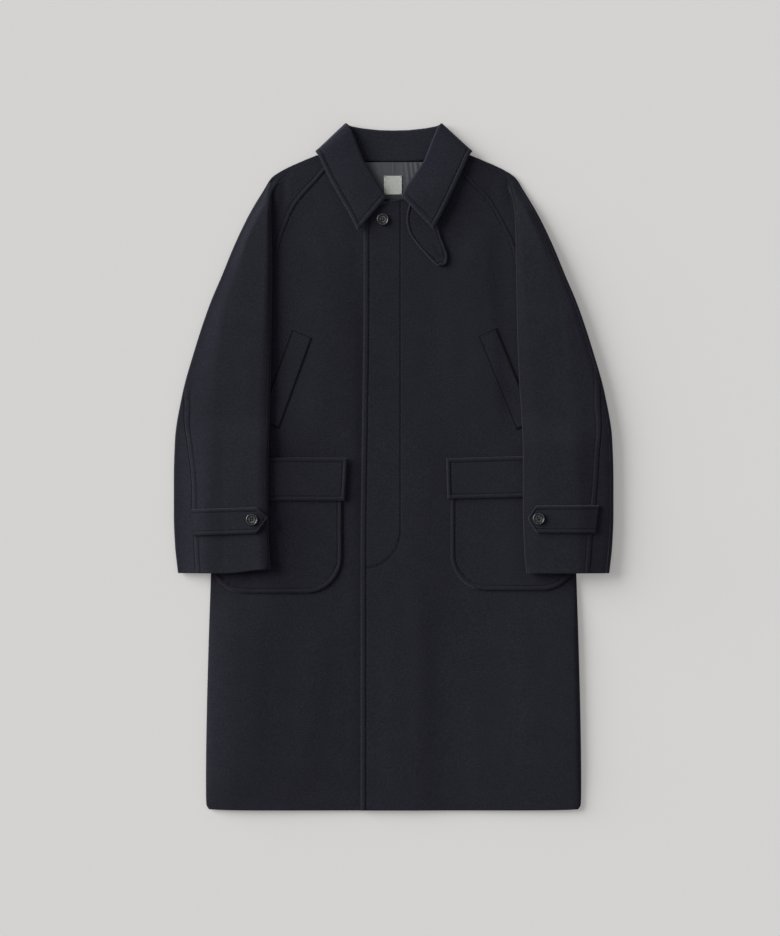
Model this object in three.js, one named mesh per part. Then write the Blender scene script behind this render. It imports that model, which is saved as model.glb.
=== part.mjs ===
import * as THREE from 'three';

// A balmacaan coat laid flat on its back, seen from above: X to the right, Y towards the collar,
// Z up from the surface it lies on. Sizes are millimetres.

// Walls of the cloth and the air between two layers that lie on each other
const clothWall = 2.2;
const collarWall = 3;
const flapWall = 2.6;
const pocketWall = 2;
const liningWall = 1;
const labelWall = 0.6;
const air = 0.5;
const seamGap = 0.4;
const layer = clothWall + air;

// Main sizes
const hemY = -573.5;
const cuffY = -176;
const armpitY = 302;
const armpitX = 268;
const neckSeamY = 513;
const frontNeckY = 449.5;
const frontEdgeX = -50;
const underlapX = 20;
const backLeafEdgeY = 488;
const collarRollRadius = 1.75;
const buttonRadius = 10;
const buttonHeight = 3.6;
const pocketCornerRadius = 60;

// Half width of the coat over the sleeves, from the neck down to the cuff
const outlineRows = [
  { y: 521, outer: 137 },
  { y: 513, outer: 153 },
  { y: 499, outer: 184 },
  { y: 486, outer: 204 },
  { y: 466, outer: 217 },
  { y: 424, outer: 242 },
  { y: 374, outer: 266 },
  { y: 323, outer: 287 },
  { y: 273, outer: 308 },
  { y: 198, outer: 333 },
  { y: 122, outer: 354 },
  { y: 47, outer: 366 },
  { y: -20, outer: 368 },
  { y: -79, outer: 368 },
  { y: -129, outer: 366 },
  { y: -176, outer: 361 },
];

// Inner folded edge of each sleeve where it lies over the body
const foldRows = {
  left: [
    { y: 521, fold: 176 },
    { y: 500, fold: 192 },
    { y: 481, fold: 200 },
    { y: 453, fold: 205 },
    { y: 389, fold: 204 },
    { y: 345, fold: 203 },
    { y: 226, fold: 204 },
    { y: 84, fold: 207 },
    { y: 0, fold: 209 },
    { y: -100, fold: 209 },
    { y: -176, fold: 205 },
  ],
  right: [
    { y: 521, fold: 168 },
    { y: 500, fold: 184 },
    { y: 483, fold: 192 },
    { y: 462, fold: 197 },
    { y: 434, fold: 202 },
    { y: 334, fold: 205 },
    { y: 226, fold: 207 },
    { y: 146, fold: 210 },
    { y: 84, fold: 214 },
    { y: 28, fold: 217 },
    { y: -60, fold: 217 },
    { y: -149, fold: 221 },
    { y: -176, fold: 225 },
  ],
};

// Raglan seam on the front, from the neck to the armpit
const seamRows = {
  left: [
    { y: 521, seam: 90 },
    { y: 493, seam: 117 },
    { y: 478, seam: 130 },
    { y: 459, seam: 148 },
    { y: 437, seam: 165 },
    { y: 411, seam: 177 },
    { y: 389, seam: 185.5 },
    { y: 369, seam: 191 },
    { y: 347, seam: 195.5 },
    { y: 334, seam: 199 },
    { y: 322, seam: 210 },
    { y: 312, seam: 230 },
    { y: 305, seam: 254 },
    { y: 302, seam: 265 },
  ],
  right: [
    { y: 521, seam: 90 },
    { y: 489, seam: 116 },
    { y: 466, seam: 138 },
    { y: 451, seam: 153 },
    { y: 424, seam: 171 },
    { y: 399, seam: 184 },
    { y: 379, seam: 194 },
    { y: 357, seam: 201 },
    { y: 340, seam: 204 },
    { y: 325, seam: 213 },
    { y: 312, seam: 233 },
    { y: 305, seam: 255 },
    { y: 302, seam: 265 },
  ],
};

// Raglan seam on the back
const rearRows = [
  { y: 521, rear: 86 },
  { y: 499, rear: 108 },
  { y: 462, rear: 152 },
  { y: 411, rear: 198 },
  { y: 347, rear: 246 },
  { y: 302, rear: 267 },
];

// How far the overarm seam lies in from the outline
const overarmRows = [
  { y: 521, inset: 6 },
  { y: 170, inset: 6 },
  { y: 130, inset: 7 },
  { y: 102, inset: 11 },
  { y: 65, inset: 20 },
  { y: 34, inset: 26 },
  { y: -10, inset: 30 },
  { y: -60, inset: 37 },
  { y: -116, inset: 36 },
  { y: -176, inset: 33 },
];

// Underarm seam of the sleeve, hidden between sleeve and body
const underarmRows = [
  { y: 302, under: 268 },
  { y: 290, under: 271.5 },
  { y: 270, under: 268 },
  { y: 240, under: 256 },
  { y: 200, under: 246 },
  { y: 150, under: 240 },
  { y: -176, under: 238 },
];

// Side of the body below the armpit
const sideRows = [
  { y: 302, side: 267 },
  { y: 290, side: 270.5 },
  { y: 240, side: 280 },
  { y: 200, side: 286 },
  { y: 100, side: 294 },
  { y: 0, side: 299 },
  { y: -179, side: 306 },
  { y: -545, side: 314 },
  { y: -566, side: 313 },
  { y: hemY, side: 305 },
];

// Neck seam of the fronts, from the centre up to the side of the neck
const neckRows = [
  { y: 521, neck: 83 },
  { y: 512, neck: 80 },
  { y: 498, neck: 72 },
  { y: 474, neck: 50 },
  { y: 452, neck: 26 },
  { y: frontNeckY, neck: 14 },
];

// Half of the collar: points on the roll line, the neck seam and the outer edge, and the turn from
// the front (0) round the side to the back (180 degrees)
const collarStations = {
  left: [
    { roll: [-9, 451.5], seam: [-16, 447.5], edge: [-58, 396], turn: 0 },
    { roll: [-16, 459], seam: [-26, 453], edge: [-69, 418], turn: 0 },
    { roll: [-33, 487], seam: [-50, 475], edge: [-88, 452], turn: 0 },
    { roll: [-50, 513], seam: [-72, 499], edge: [-106, 484], turn: 0 },
    { roll: [-61, 540], seam: [-79, 513], edge: [-116, 504], turn: 0 },
    { roll: [-68, 560], seam: [-82, 521], edge: [-121, 516], turn: 12 },
    { roll: [-70, 567.5], seam: [-83, 524], edge: [-123, 519.5], turn: 45 },
    { roll: [-70.3, 568.8], seam: [-83, 524.5], edge: [-123.2, 519.7], turn: 90 },
    { roll: [-70, 567.5], seam: [-82, 524], edge: [-122.5, 519], turn: 135 },
    { roll: [-67, 568], seam: [-76, 519.5], edge: [-120, 517], turn: 172 },
    { roll: [-52, 567], seam: [-58, 515], edge: [-82, 500], turn: 180 },
    { roll: [-26, 566], seam: [-28, 513.5], edge: [-42, 491], turn: 180 },
  ],
  right: [
    { roll: [26, 566], seam: [28, 513.5], edge: [42, 491], turn: 180 },
    { roll: [52, 567], seam: [58, 515], edge: [82, 500], turn: 180 },
    { roll: [67, 568], seam: [76, 519.5], edge: [120, 517], turn: 172 },
    { roll: [71.3, 568.4], seam: [82, 524], edge: [122.5, 519], turn: 135 },
    { roll: [71.6, 569.7], seam: [83, 524.5], edge: [123.2, 519.2], turn: 90 },
    { roll: [71.3, 568.4], seam: [83, 524], edge: [123, 519], turn: 45 },
    { roll: [69, 561], seam: [82, 521], edge: [121, 516], turn: 12 },
    { roll: [61, 540], seam: [79, 513], edge: [117, 503], turn: 0 },
    { roll: [51, 515], seam: [73, 500], edge: [108, 483], turn: 0 },
    { roll: [37, 494], seam: [54, 480], edge: [93, 452], turn: 0 },
    { roll: [22, 472], seam: [34, 461], edge: [78, 421], turn: 0 },
    { roll: [14, 453], seam: [18, 447], edge: [67, 400], turn: 0 },
  ],
};
const collarBack = { roll: [0, 566], seam: [0, 513.5], edge: [0, backLeafEdgeY], turn: 180 };

// Rows across the throat tab, from under the collar to its round end
const throatTabRows = [
  { from: [26, 441], to: [68, 438] },
  { from: [22, 425], to: [71, 421] },
  { from: [22, 408], to: [75, 404] },
  { from: [28, 390], to: [80, 386] },
  { from: [41, 372], to: [86, 371] },
  { from: [56, 355], to: [90.5, 357] },
  { from: [66, 344.5], to: [90, 346] },
  { from: [75, 338], to: [85, 339.5] },
];

// Corners of each pocket welt, of each flap and of each patch pocket, from the upper inner one
const welts = {
  left: [[-137, 218], [-170, 232], [-225, 80], [-192, 66]],
  right: [[141, 221], [172, 235], [236, 78], [205, 64]],
};
const flaps = {
  left: [[-77, 17], [-302, 18], [-302, -54], [-81, -55]],
  right: [[89, 16], [302, 22], [302, -47], [91, -52]],
};
const patchPockets = {
  left: { inner: 86, outer: 309, top: 8, bottom: -209 },
  right: { inner: 97.5, outer: 307.5, top: 8, bottom: -204.5 },
};

// Cuff tabs: places along the tab from the overarm seam to the point, with its two edges
const cuffTabRows = {
  left: [
    { x: 334, upper: -69, lower: -114 },
    { x: 234, upper: -64.5, lower: -108.5 },
    { x: 212, upper: -80, lower: -88 },
  ],
  right: [
    { x: 340, upper: -61, lower: -110 },
    { x: 246, upper: -63, lower: -109 },
    { x: 228, upper: -81, lower: -89 },
  ],
};

const buttonPlaces = {
  front: [-18, 416],
  cuffLeft: [-237, -87],
  cuffRight: [242, -85],
};

const navyMelton = () => new THREE.MeshStandardMaterial({ color: 0x1b1c24, roughness: 0.95, metalness: 0 });
const greyLining = () => new THREE.MeshStandardMaterial({ color: 0x505458, roughness: 0.6, metalness: 0 });
const paleLabel = () => new THREE.MeshStandardMaterial({ color: 0xc8cbc3, roughness: 0.7, metalness: 0 });
const blackHorn = () => new THREE.MeshStandardMaterial({ color: 0x0c0c0e, roughness: 0.25, metalness: 0 });

const mix = (a, b, t) => a + (b - a) * t;
const clamp = (t) => Math.min(1, Math.max(0, t));

// Smooth step of a value from one place to another
function ramp(value, from, to) {
  const t = clamp((value - from) / (to - from));
  return t * t * (3 - 2 * t);
}

// Value of a column at height y: cubic pieces through the rows, with slopes that never overshoot
function column(rows, name, y) {
  const sorted = [...rows].sort((a, b) => a.y - b.y);
  const at = clamp((y - sorted[0].y) / (sorted.at(-1).y - sorted[0].y));
  const place = mix(sorted[0].y, sorted.at(-1).y, at);
  let k = 0;
  while (k < sorted.length - 2 && place > sorted[k + 1].y) k += 1;
  const step = (i) => sorted[i + 1].y - sorted[i].y;
  const slope = (i) => (sorted[i + 1][name] - sorted[i][name]) / step(i);
  const tangent = (i) => {
    if (i === 0) return slope(0);
    if (i === sorted.length - 1) return slope(i - 1);
    if (slope(i - 1) * slope(i) <= 0) return 0;
    const wide = 2 * step(i) + step(i - 1);
    const narrow = step(i) + 2 * step(i - 1);
    return (wide + narrow) / (wide / slope(i - 1) + narrow / slope(i));
  };
  const h = step(k);
  const t = (place - sorted[k].y) / h;
  const keep = (1 + 2 * t) * (1 - t) ** 2 * sorted[k][name] + t * t * (3 - 2 * t) * sorted[k + 1][name];
  return keep + h * t * (1 - t) * ((1 - t) * tangent(k) - t * tangent(k + 1));
}

// Heights of the layers: every layer adds to the same ground, so the layers stay apart

// The back of the collar lies under the neck and lifts all that is above it
function neckLift(x, y) {
  const across = Math.min(Math.abs(x), 134) / 127;
  const edge = backLeafEdgeY + 35 * across ** 2;
  return (collarWall + air) * ramp(y, edge - 90, edge - 6) * (1 - ramp(Math.abs(x), 134, 200));
}

function liningLift(x, y) {
  return (liningWall + air) * ramp(y, 370, 430) * (1 - ramp(Math.abs(x), 90, 170));
}

// The overlapping front lies one layer higher along the front edge
function overlapLift(x) {
  return layer * (1 - ramp(x, underlapX + 5, 125));
}

// Soft rise of the fronts between the front edge and the sleeves
function frontSwell(x, y) {
  const across = Math.max(0, 1 - (x / 195) ** 2) ** 2;
  const along = ramp(y, hemY, hemY + 120) * (1 - ramp(y, 330, 420));
  return across * along * (0.7 + 0.5 * Math.cos((y + 250) / 140));
}

// Middle of the wall of the front that lies under, without the overlap
function frontMid(x, y) {
  return layer + clothWall / 2 + neckLift(x, y) + liningLift(x, y) + frontSwell(x, y);
}

function frontTop(side, x, y) {
  const over = side === 'right' ? overlapLift(x) : 0;
  return frontMid(x, y) + clothWall / 2 + over;
}

// Middle of the sleeve's lower layer where it lies on the body, its pockets and flaps
function sleeveFloor(y) {
  const overWelt = (pocketWall + air) * ramp(y, 290, 240);
  const overFlap = (flapWall + air) * ramp(y, 90, 34);
  return 2 * layer + clothWall / 2 + overWelt + overFlap;
}

// All columns of a sleeve at height y
function sleeveAt(side, y) {
  const outer = column(outlineRows, 'outer', y);
  const fold = column(foldRows[side], 'fold', y);
  const drop = clamp((481 - y) / (481 - armpitY));
  const rim = (layer + clothWall) / 2;
  return {
    y,
    outer,
    fold,
    seam: column(seamRows[side], 'seam', y),
    rear: column(rearRows, 'rear', y),
    crease: Math.max(fold + rim + 1, Math.min(mix(fold + 4, armpitX - 1, drop), outer - 22)),
    over: outer - column(overarmRows, 'inset', y),
    under: column(underarmRows, 'under', y),
    side: column(sideRows, 'side', y),
    inside: fold + rim,
    outside: outer - rim,
  };
}

// Middle of the lower layer of the sleeve, from the body down to the surface at the outline
function sleeveUnderMid(row, x) {
  const from = row.y > armpitY - 1 ? row.crease + 2 : row.side + 3;
  return neckLift(x, row.y) + mix(sleeveFloor(row.y), clothWall / 2, ramp(x, from, row.outer - 4));
}

// Middle of the upper layer of the sleeve, a little rounded over the lower one
function sleeveTopMid(row, x) {
  const across = clamp((x - row.inside) / (row.outside - row.inside));
  const swell = 1.6 * Math.sin(Math.PI * across) * (1 - ramp(row.y, 150, 420) * 0.5);
  return sleeveUnderMid(row, x) + layer + swell;
}

// A closed wall round a grid of middle points: each point is moved out and in by half the wall along
// the mean normal of the cells that meet there, and the open edges are closed with a rim
function wallFrom(name, grid, wall, material, hasCell = () => true) {
  const rows = grid.length;
  const columns = grid[0].length;
  const at = (i, j) => i * columns + j;
  const cells = [];
  for (let i = 0; i < rows - 1; i += 1) {
    for (let j = 0; j < columns - 1; j += 1) {
      if (hasCell(i, j)) cells.push([at(i, j), at(i + 1, j), at(i + 1, j + 1), at(i, j + 1)]);
    }
  }
  const points = grid.flat();
  const normals = points.map(() => new THREE.Vector3());
  for (const cell of cells) {
    const [a, b, c, d] = cell.map((k) => points[k]);
    const normal = c.clone().sub(a).cross(d.clone().sub(b));
    for (const k of cell) normals[k].add(normal.clone().normalize());
  }
  const used = new Map();
  const positions = [];
  for (const cell of cells) {
    for (const k of cell) {
      if (used.has(k)) continue;
      used.set(k, used.size);
      const reach = normals[k].clone().normalize().multiplyScalar(wall / 2);
      const upper = points[k].clone().add(reach);
      const lower = points[k].clone().sub(reach);
      positions.push(...upper.toArray(), ...lower.toArray());
    }
  }
  const triangles = [];
  const edges = new Map();
  for (const cell of cells) {
    const corners = cell.map((k) => 2 * used.get(k));
    const [a, b, c, d] = corners;
    triangles.push([a, b, c], [a, c, d], [a + 1, c + 1, b + 1], [a + 1, d + 1, c + 1]);
    for (let e = 0; e < 4; e += 1) {
      const from = corners[e];
      const to = corners[(e + 1) % 4];
      if (!edges.delete(`${to},${from}`)) edges.set(`${from},${to}`, [from, to]);
    }
  }
  for (const [from, to] of edges.values()) {
    triangles.push([from, from + 1, to + 1], [from, to + 1, to]);
  }
  return solidMesh(name, positions, triangles, material);
}

// Mesh of a closed surface, turned over when its faces point inwards
function solidMesh(name, positions, triangles, material) {
  const corner = (k) => new THREE.Vector3().fromArray(positions, 3 * k);
  let volume = 0;
  for (const [a, b, c] of triangles) volume += corner(a).dot(corner(b).cross(corner(c))) / 6;
  const index = triangles.flatMap(([a, b, c]) => (volume > 0 ? [a, b, c] : [a, c, b]));
  const geometry = new THREE.BufferGeometry();
  geometry.setAttribute('position', new THREE.Float32BufferAttribute(positions, 3));
  geometry.setIndex(index);
  geometry.computeVertexNormals();
  const mesh = new THREE.Mesh(geometry, material);
  mesh.name = name;
  return mesh;
}

const vector = (x, y, z) => new THREE.Vector3(x, y, z);
const steps = (count) => Array.from({ length: count }, (_, k) => k / (count - 1));
const signOf = (side) => (side === 'left' ? -1 : 1);

// Heights at which the rows of the body lie, from the neck to the hem
const bodyRowsY = [
  516, 505, 493, 480, 466, 457, frontNeckY, 436, 415, 393, 370, 347, 334, 322, 312, 305, armpitY, 299,
  280, 235, 180, 120, 60, 0, -70, -150, -240, -340, -440, -530, -565, hemY,
];

// The hem rises a little towards the side seams
function hemRise(x, y) {
  return 3.5 * (Math.abs(x) / 314) ** 8 * ramp(y, -500, hemY);
}

// Outer edge of a front: the raglan seam, then the side
function frontOuter(side, y) {
  if (y >= armpitY) return column(seamRows[side], 'seam', y + 0.8) - seamGap;
  return column(sideRows, 'side', y);
}

// Inner edge of a front: the neck seam, then the front edge or the edge that lies under
function frontInner(side, y) {
  const neck = column(neckRows, 'neck', y + 0.8) + seamGap;
  if (y > frontNeckY) return signOf(side) * neck;
  return side === 'left' ? underlapX : frontEdgeX - 5 * ramp(y, 300, -150);
}

function makeFront(side) {
  const grid = bodyRowsY.map((y) => {
    const inner = frontInner(side, y);
    const outer = signOf(side) * frontOuter(side, y);
    return steps(13).map((t) => {
      const x = mix(inner, outer, t);
      const height = frontTop(side, x, y) - clothWall / 2;
      const cut = y === frontNeckY && side === 'right' ? 8.5 * (1 - ramp(x, -12, -6)) : 0;
      return vector(x, y - cut + hemRise(x, y), height);
    });
  });
  return wallFrom(`front_${side}`, grid, clothWall, navyMelton());
}

function makeBack() {
  const heights = [519, ...bodyRowsY.filter((y) => y < neckSeamY - 5)];
  const grid = heights.map((y) => {
    const outer = y > armpitY ? column(rearRows, 'rear', y) - seamGap : column(sideRows, 'side', y);
    return steps(15).map((t) => {
      const x = mix(-outer, outer, t);
      const dip = y > neckSeamY ? 6.4 * (1 - ramp(Math.abs(x), 45, 90)) : 0;
      return vector(x, y - dip + hemRise(x, y), clothWall / 2 + neckLift(x, y));
    });
  });
  return wallFrom('back', grid, clothWall, navyMelton());
}

const sleeveUpperY = [520, 509, 499, 488, 475, 458, 440, 415, 389, 366, 347, 334, 322, 312, 305, armpitY];
const sleeveLowerY = [290, 270, 240, 195, 150, 110, 75, 40, 0, -45, -90, -135, cuffY];
const sleeveRowsY = [...sleeveUpperY, ...sleeveLowerY];

// Points from angle to angle round a fold, where 0 degrees looks outwards and 90 up
function arc(centerX, centerZ, radius, angles) {
  return angles.map((degrees) => {
    const angle = THREE.MathUtils.degToRad(degrees);
    return [centerX + radius * Math.cos(angle), centerZ + radius * Math.sin(angle)];
  });
}

// The upper edge of the sleeves keeps clear of the corner of the collar
function sleeveHeadDip(x, y) {
  return 5 * ramp(y, 509, 520) * ramp(x, 97, 108) * (1 - ramp(x, 114, 134));
}

// The inner corner of the left cuff lies a little higher
function cuffRise(side, x, y) {
  return side === 'left' ? 7 * (1 - ramp(x, 207, 285)) * ramp(y, -60, cuffY) : 0;
}

// One row across the front sleeve: out to the hidden crease, back to the folded edge, and over the
// top to the overarm seam. Near the neck the folds open into one flat layer.
function sleeveFrontRow(side, y) {
  const row = sleeveAt(side, y);
  const above = y > armpitY - 1;
  const low = layer + clothWall / 2;
  const middle = above ? low + layer : sleeveFloor(y);
  const top = middle + layer;
  const start = row.seam + seamGap;
  const creaseX = above ? row.crease : row.under - seamGap;
  const end = row.over - seamGap * (1 + 2 * ramp(y, 430, 470));
  const folded = [
    [start, low],
    [mix(start, creaseX, 0.5), low],
    ...arc(creaseX, (low + middle) / 2, (middle - low) / 2, [-90, -30, 30, 90]),
    [mix(creaseX, row.inside, 0.35), middle],
    [mix(creaseX, row.inside, 0.7), middle],
    ...arc(row.inside, (middle + top) / 2, (top - middle) / 2, [270, 210, 150, 90]),
    ...[0.2, 0.4, 0.6, 0.78, 0.9, 1].map((t) => {
      const x = mix(row.inside, end, t);
      return [x, sleeveTopMid(row, x) - neckLift(x, y)];
    }),
  ];
  const open = 1 - ramp(y, 418, 490);
  return folded.map(([x, z], k) => {
    const flatX = mix(start, end, k / (folded.length - 1));
    const placeX = mix(flatX, x, open);
    const lift = neckLift(placeX, y) + liningLift(placeX, y);
    const placeY = y - sleeveHeadDip(placeX, y) + cuffRise(side, placeX, y);
    return vector(signOf(side) * placeX, placeY, lift + mix(low, z, open));
  });
}

function makeSleeveFront(side) {
  const grid = sleeveRowsY.map((y) => sleeveFrontRow(side, y));
  const armpitRow = sleeveUpperY.length - 1;
  const hasCell = (i, j) => i < armpitRow || j > 4;
  return wallFrom(`sleeve_front_${side}`, grid, clothWall, navyMelton(), hasCell);
}

// One row across the back sleeve: from the overarm seam round the outer fold and in underneath
function sleeveBackRow(side, y) {
  const row = sleeveAt(side, y);
  const above = y > armpitY - 1;
  const start = row.over + seamGap;
  const end = (above ? row.rear : row.under) + seamGap;
  const ground = (x) => clothWall / 2 + neckLift(x, y);
  const bottom = (x) => (above ? ground(x) : sleeveUnderMid(row, x));
  const path = [
    [start, sleeveTopMid(row, start)],
    [mix(start, row.outside, 0.5), sleeveTopMid(row, mix(start, row.outside, 0.5))],
    ...arc(row.outside, bottom(row.outside) + layer / 2, layer / 2, [90, 30, -30, -90]),
    ...[0.15, 0.3, 0.45, 0.6, 0.8, 1].map((t) => {
      const x = mix(row.outside, end, t);
      return [x, bottom(x)];
    }),
  ];
  return path.map(([x, z]) => {
    const placeY = y - sleeveHeadDip(x, y) + cuffRise(side, x, y);
    return vector(signOf(side) * x, placeY, z);
  });
}

function makeSleeveBack(side) {
  const grid = sleeveRowsY.map((y) => sleeveBackRow(side, y));
  return wallFrom(`sleeve_back_${side}`, grid, clothWall, navyMelton());
}

// Middle of the collar's leaf where it lies on the fronts
function leafMid(x, y) {
  const overlap = layer * (ramp(x, -150, -60) - ramp(x, underlapX + 5, 125));
  const inTab = ramp(x, -10, 20) * (1 - ramp(x, 82, 125)) * (1 - ramp(y, 446, 490));
  const tab = (collarWall + air) * inTab;
  return 2 * layer + liningWall + air + 1 + collarWall / 2 + neckLift(x, y) + overlap + tab * 0.9;
}

// One station of the collar: the stand from the neck seam to the roll line, round the roll, and the
// leaf to its outer edge. The turn carries both from the front round the side to the back.
function collarRow(station) {
  const turn = THREE.MathUtils.degToRad(station.turn);
  const roll = new THREE.Vector2(...station.roll);
  const seam = new THREE.Vector2(...station.seam);
  const edge = new THREE.Vector2(...station.edge);
  const r = collarRollRadius;
  const side = Math.sign(station.edge[0]) || 1;
  const outward = (from, to) => {
    const along = to.clone().sub(from).normalize();
    return new THREE.Vector2(-along.y, along.x).multiplyScalar(-side);
  };
  const backCore = collarWall / 2 + r;
  const place = (flat, out, offset) => {
    const frontCore = leafMid(flat.x, flat.y) - r;
    const reach = Math.sin(turn) * ((frontCore - backCore) / 2 + offset);
    const height = mix(backCore, frontCore, (1 + Math.cos(turn)) / 2) + Math.cos(turn) * offset;
    return vector(flat.x + out.x * reach, flat.y + out.y * reach, height);
  };
  const up = roll.clone().sub(edge).normalize();
  const center = roll.clone().sub(up.clone().multiplyScalar(r + collarWall / 2));
  const standOut = outward(seam, center).multiplyScalar(-1);
  const leafOut = outward(center, edge);
  if (standOut.x * side < 0) standOut.negate();
  if (leafOut.x * side < 0) leafOut.negate();
  const stand = [0, 0.4, 0.75].map((t) => place(seam.clone().lerp(center, t), standOut, -r));
  const bend = [-90, -45, 0, 45, 90].map((degrees) => {
    const angle = THREE.MathUtils.degToRad(degrees);
    const flat = center.clone().add(up.clone().multiplyScalar(r * Math.cos(angle)));
    const out = standOut.clone().lerp(leafOut, (degrees + 90) / 180).normalize();
    return place(flat, out, r * Math.sin(angle));
  });
  const leaf = [0.25, 0.5, 0.75, 1].map((t) => place(center.clone().lerp(edge, t), leafOut, r));
  return [...stand, ...bend, ...leaf];
}

function makeCollar() {
  const stations = [...collarStations.left, collarBack, ...collarStations.right];
  return wallFrom('collar', stations.map(collarRow), collarWall, navyMelton());
}

function makeThroatTab() {
  const grid = throatTabRows.map(({ from, to }) => steps(6).map((t) => {
    const x = mix(from[0], to[0], t);
    const y = mix(from[1], to[1], t);
    return vector(x, y, frontTop('right', x, y) + air + collarWall / 2);
  }));
  return wallFrom('throat_tab', grid, collarWall, navyMelton());
}

// A panel between four corners that lies a given height above the front
function panelOn(name, side, corners, counts, wall, above) {
  const grid = steps(counts[0]).map((t) => steps(counts[1]).map((s) => {
    const inner = [mix(corners[0][0], corners[3][0], t), mix(corners[0][1], corners[3][1], t)];
    const outer = [mix(corners[1][0], corners[2][0], t), mix(corners[1][1], corners[2][1], t)];
    const x = mix(inner[0], outer[0], s);
    const y = mix(inner[1], outer[1], s);
    return vector(x, y, frontTop(side, x, y) + above + wall / 2);
  }));
  return wallFrom(name, grid, wall, navyMelton());
}

const makeWelt = (side) => panelOn(`welt_${side}`, side, welts[side], [8, 4], pocketWall, air);

const makeFlap = (side) => {
  const above = pocketWall + 2 * air;
  return panelOn(`pocket_flap_${side}`, side, flaps[side], [5, 12], flapWall, above);
};

// Patch pocket: straight sides and two round lower corners, the outer side no further than the side seam
function makePatchPocket(side) {
  const { inner, outer, top, bottom } = patchPockets[side];
  const r = pocketCornerRadius;
  const straight = steps(5).map((t) => mix(top, bottom + r, t));
  const round = [20, 40, 57, 72, 83].map((degrees) => {
    return bottom + r - r * Math.sin(THREE.MathUtils.degToRad(degrees));
  });
  const grid = [...straight, ...round, bottom].map((y) => {
    const drop = Math.max(0, bottom + r - y);
    const inset = r - Math.sqrt(Math.max(0, r * r - drop * drop));
    const outerX = Math.min(outer - inset, column(sideRows, 'side', y) - 0.5);
    return steps(12).map((t) => {
      const x = signOf(side) * mix(inner + inset, outerX, t);
      return vector(x, y, frontTop(side, x, y) + air + pocketWall / 2);
    });
  });
  return wallFrom(`patch_pocket_${side}`, grid, pocketWall, navyMelton());
}

// Top of the sleeve at a place on it
function sleeveTop(side, x, y) {
  const row = sleeveAt(side, y);
  return sleeveTopMid(row, Math.max(x, row.inside)) + clothWall / 2;
}

// Straight pieces between the rows of a table, each in equal steps
function between(rows, counts) {
  const parts = counts.map((count, k) => steps(count + 1).slice(k > 0 ? 1 : 0).map((t) => ({
    x: mix(rows[k].x, rows[k + 1].x, t),
    upper: mix(rows[k].upper, rows[k + 1].upper, t),
    lower: mix(rows[k].lower, rows[k + 1].lower, t),
  })));
  return parts.flat();
}

function makeCuffTab(side) {
  const grid = between(cuffTabRows[side], [7, 3]).map(({ x, upper, lower }) => steps(5).map((t) => {
    const y = mix(upper, lower, t);
    return vector(signOf(side) * x, y, sleeveTop(side, x, y) + 2 * air + collarWall / 2);
  }));
  return wallFrom(`cuff_tab_${side}`, grid, collarWall, navyMelton());
}

// A round button with a raised rim and a dished middle
function makeButton(name, place, bottom) {
  const r = buttonRadius;
  const h = buttonHeight;
  const profile = [
    [0, 0],
    [0.62 * r, 0],
    [0.95 * r, 0.3 * h],
    [r, 0.62 * h],
    [0.93 * r, 0.95 * h],
    [0.8 * r, h],
    [0.66 * r, 0.8 * h],
    [0, 0.68 * h],
  ].map(([x, y]) => new THREE.Vector2(x, y));
  const geometry = new THREE.LatheGeometry(profile, 16);
  geometry.rotateX(Math.PI / 2);
  const mesh = new THREE.Mesh(geometry, blackHorn());
  mesh.name = name;
  mesh.position.set(place[0], place[1], bottom);
  return mesh;
}

function makeButtons() {
  const onFront = frontTop('right', ...buttonPlaces.front) + air;
  const onTab = (side, [x, y]) => sleeveTop(side, Math.abs(x), y) + 3 * air + collarWall;
  return [
    makeButton('button_front', buttonPlaces.front, onFront),
    makeButton('button_cuff_left', buttonPlaces.cuffLeft, onTab('left', buttonPlaces.cuffLeft) + 0.2),
    makeButton('button_cuff_right', buttonPlaces.cuffRight, onTab('right', buttonPlaces.cuffRight) + 0.2),
  ];
}

function makeNeckLining() {
  const grid = [511.5, 500, 489, 477, 465, 453, 441, 428].map((y) => steps(9).map((t) => {
    const half = mix(34, 68, ramp(y, 425, 490));
    const x = mix(-half, half, t);
    return vector(x, y, layer + liningWall / 2 + neckLift(x, y));
  }));
  return wallFrom('neck_lining', grid, liningWall, greyLining());
}

function makeNeckLabel() {
  const grid = [488, 478, 468, 458].map((y) => steps(3).map((t) => {
    const x = mix(-16, 13, t);
    return vector(x, y, layer + liningWall + air + labelWall / 2 + neckLift(x, y));
  }));
  return wallFrom('neck_label', grid, labelWall, paleLabel());
}

function makeCoat() {
  const coat = new THREE.Group();
  coat.add(makeBack(), makeNeckLining(), makeNeckLabel(), makeCollar(), makeThroatTab());
  for (const side of ['left', 'right']) {
    coat.add(makeFront(side), makeSleeveFront(side), makeSleeveBack(side));
    coat.add(makeWelt(side), makePatchPocket(side), makeFlap(side), makeCuffTab(side));
  }
  coat.add(...makeButtons());
  return coat;
}

export default makeCoat();
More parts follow.
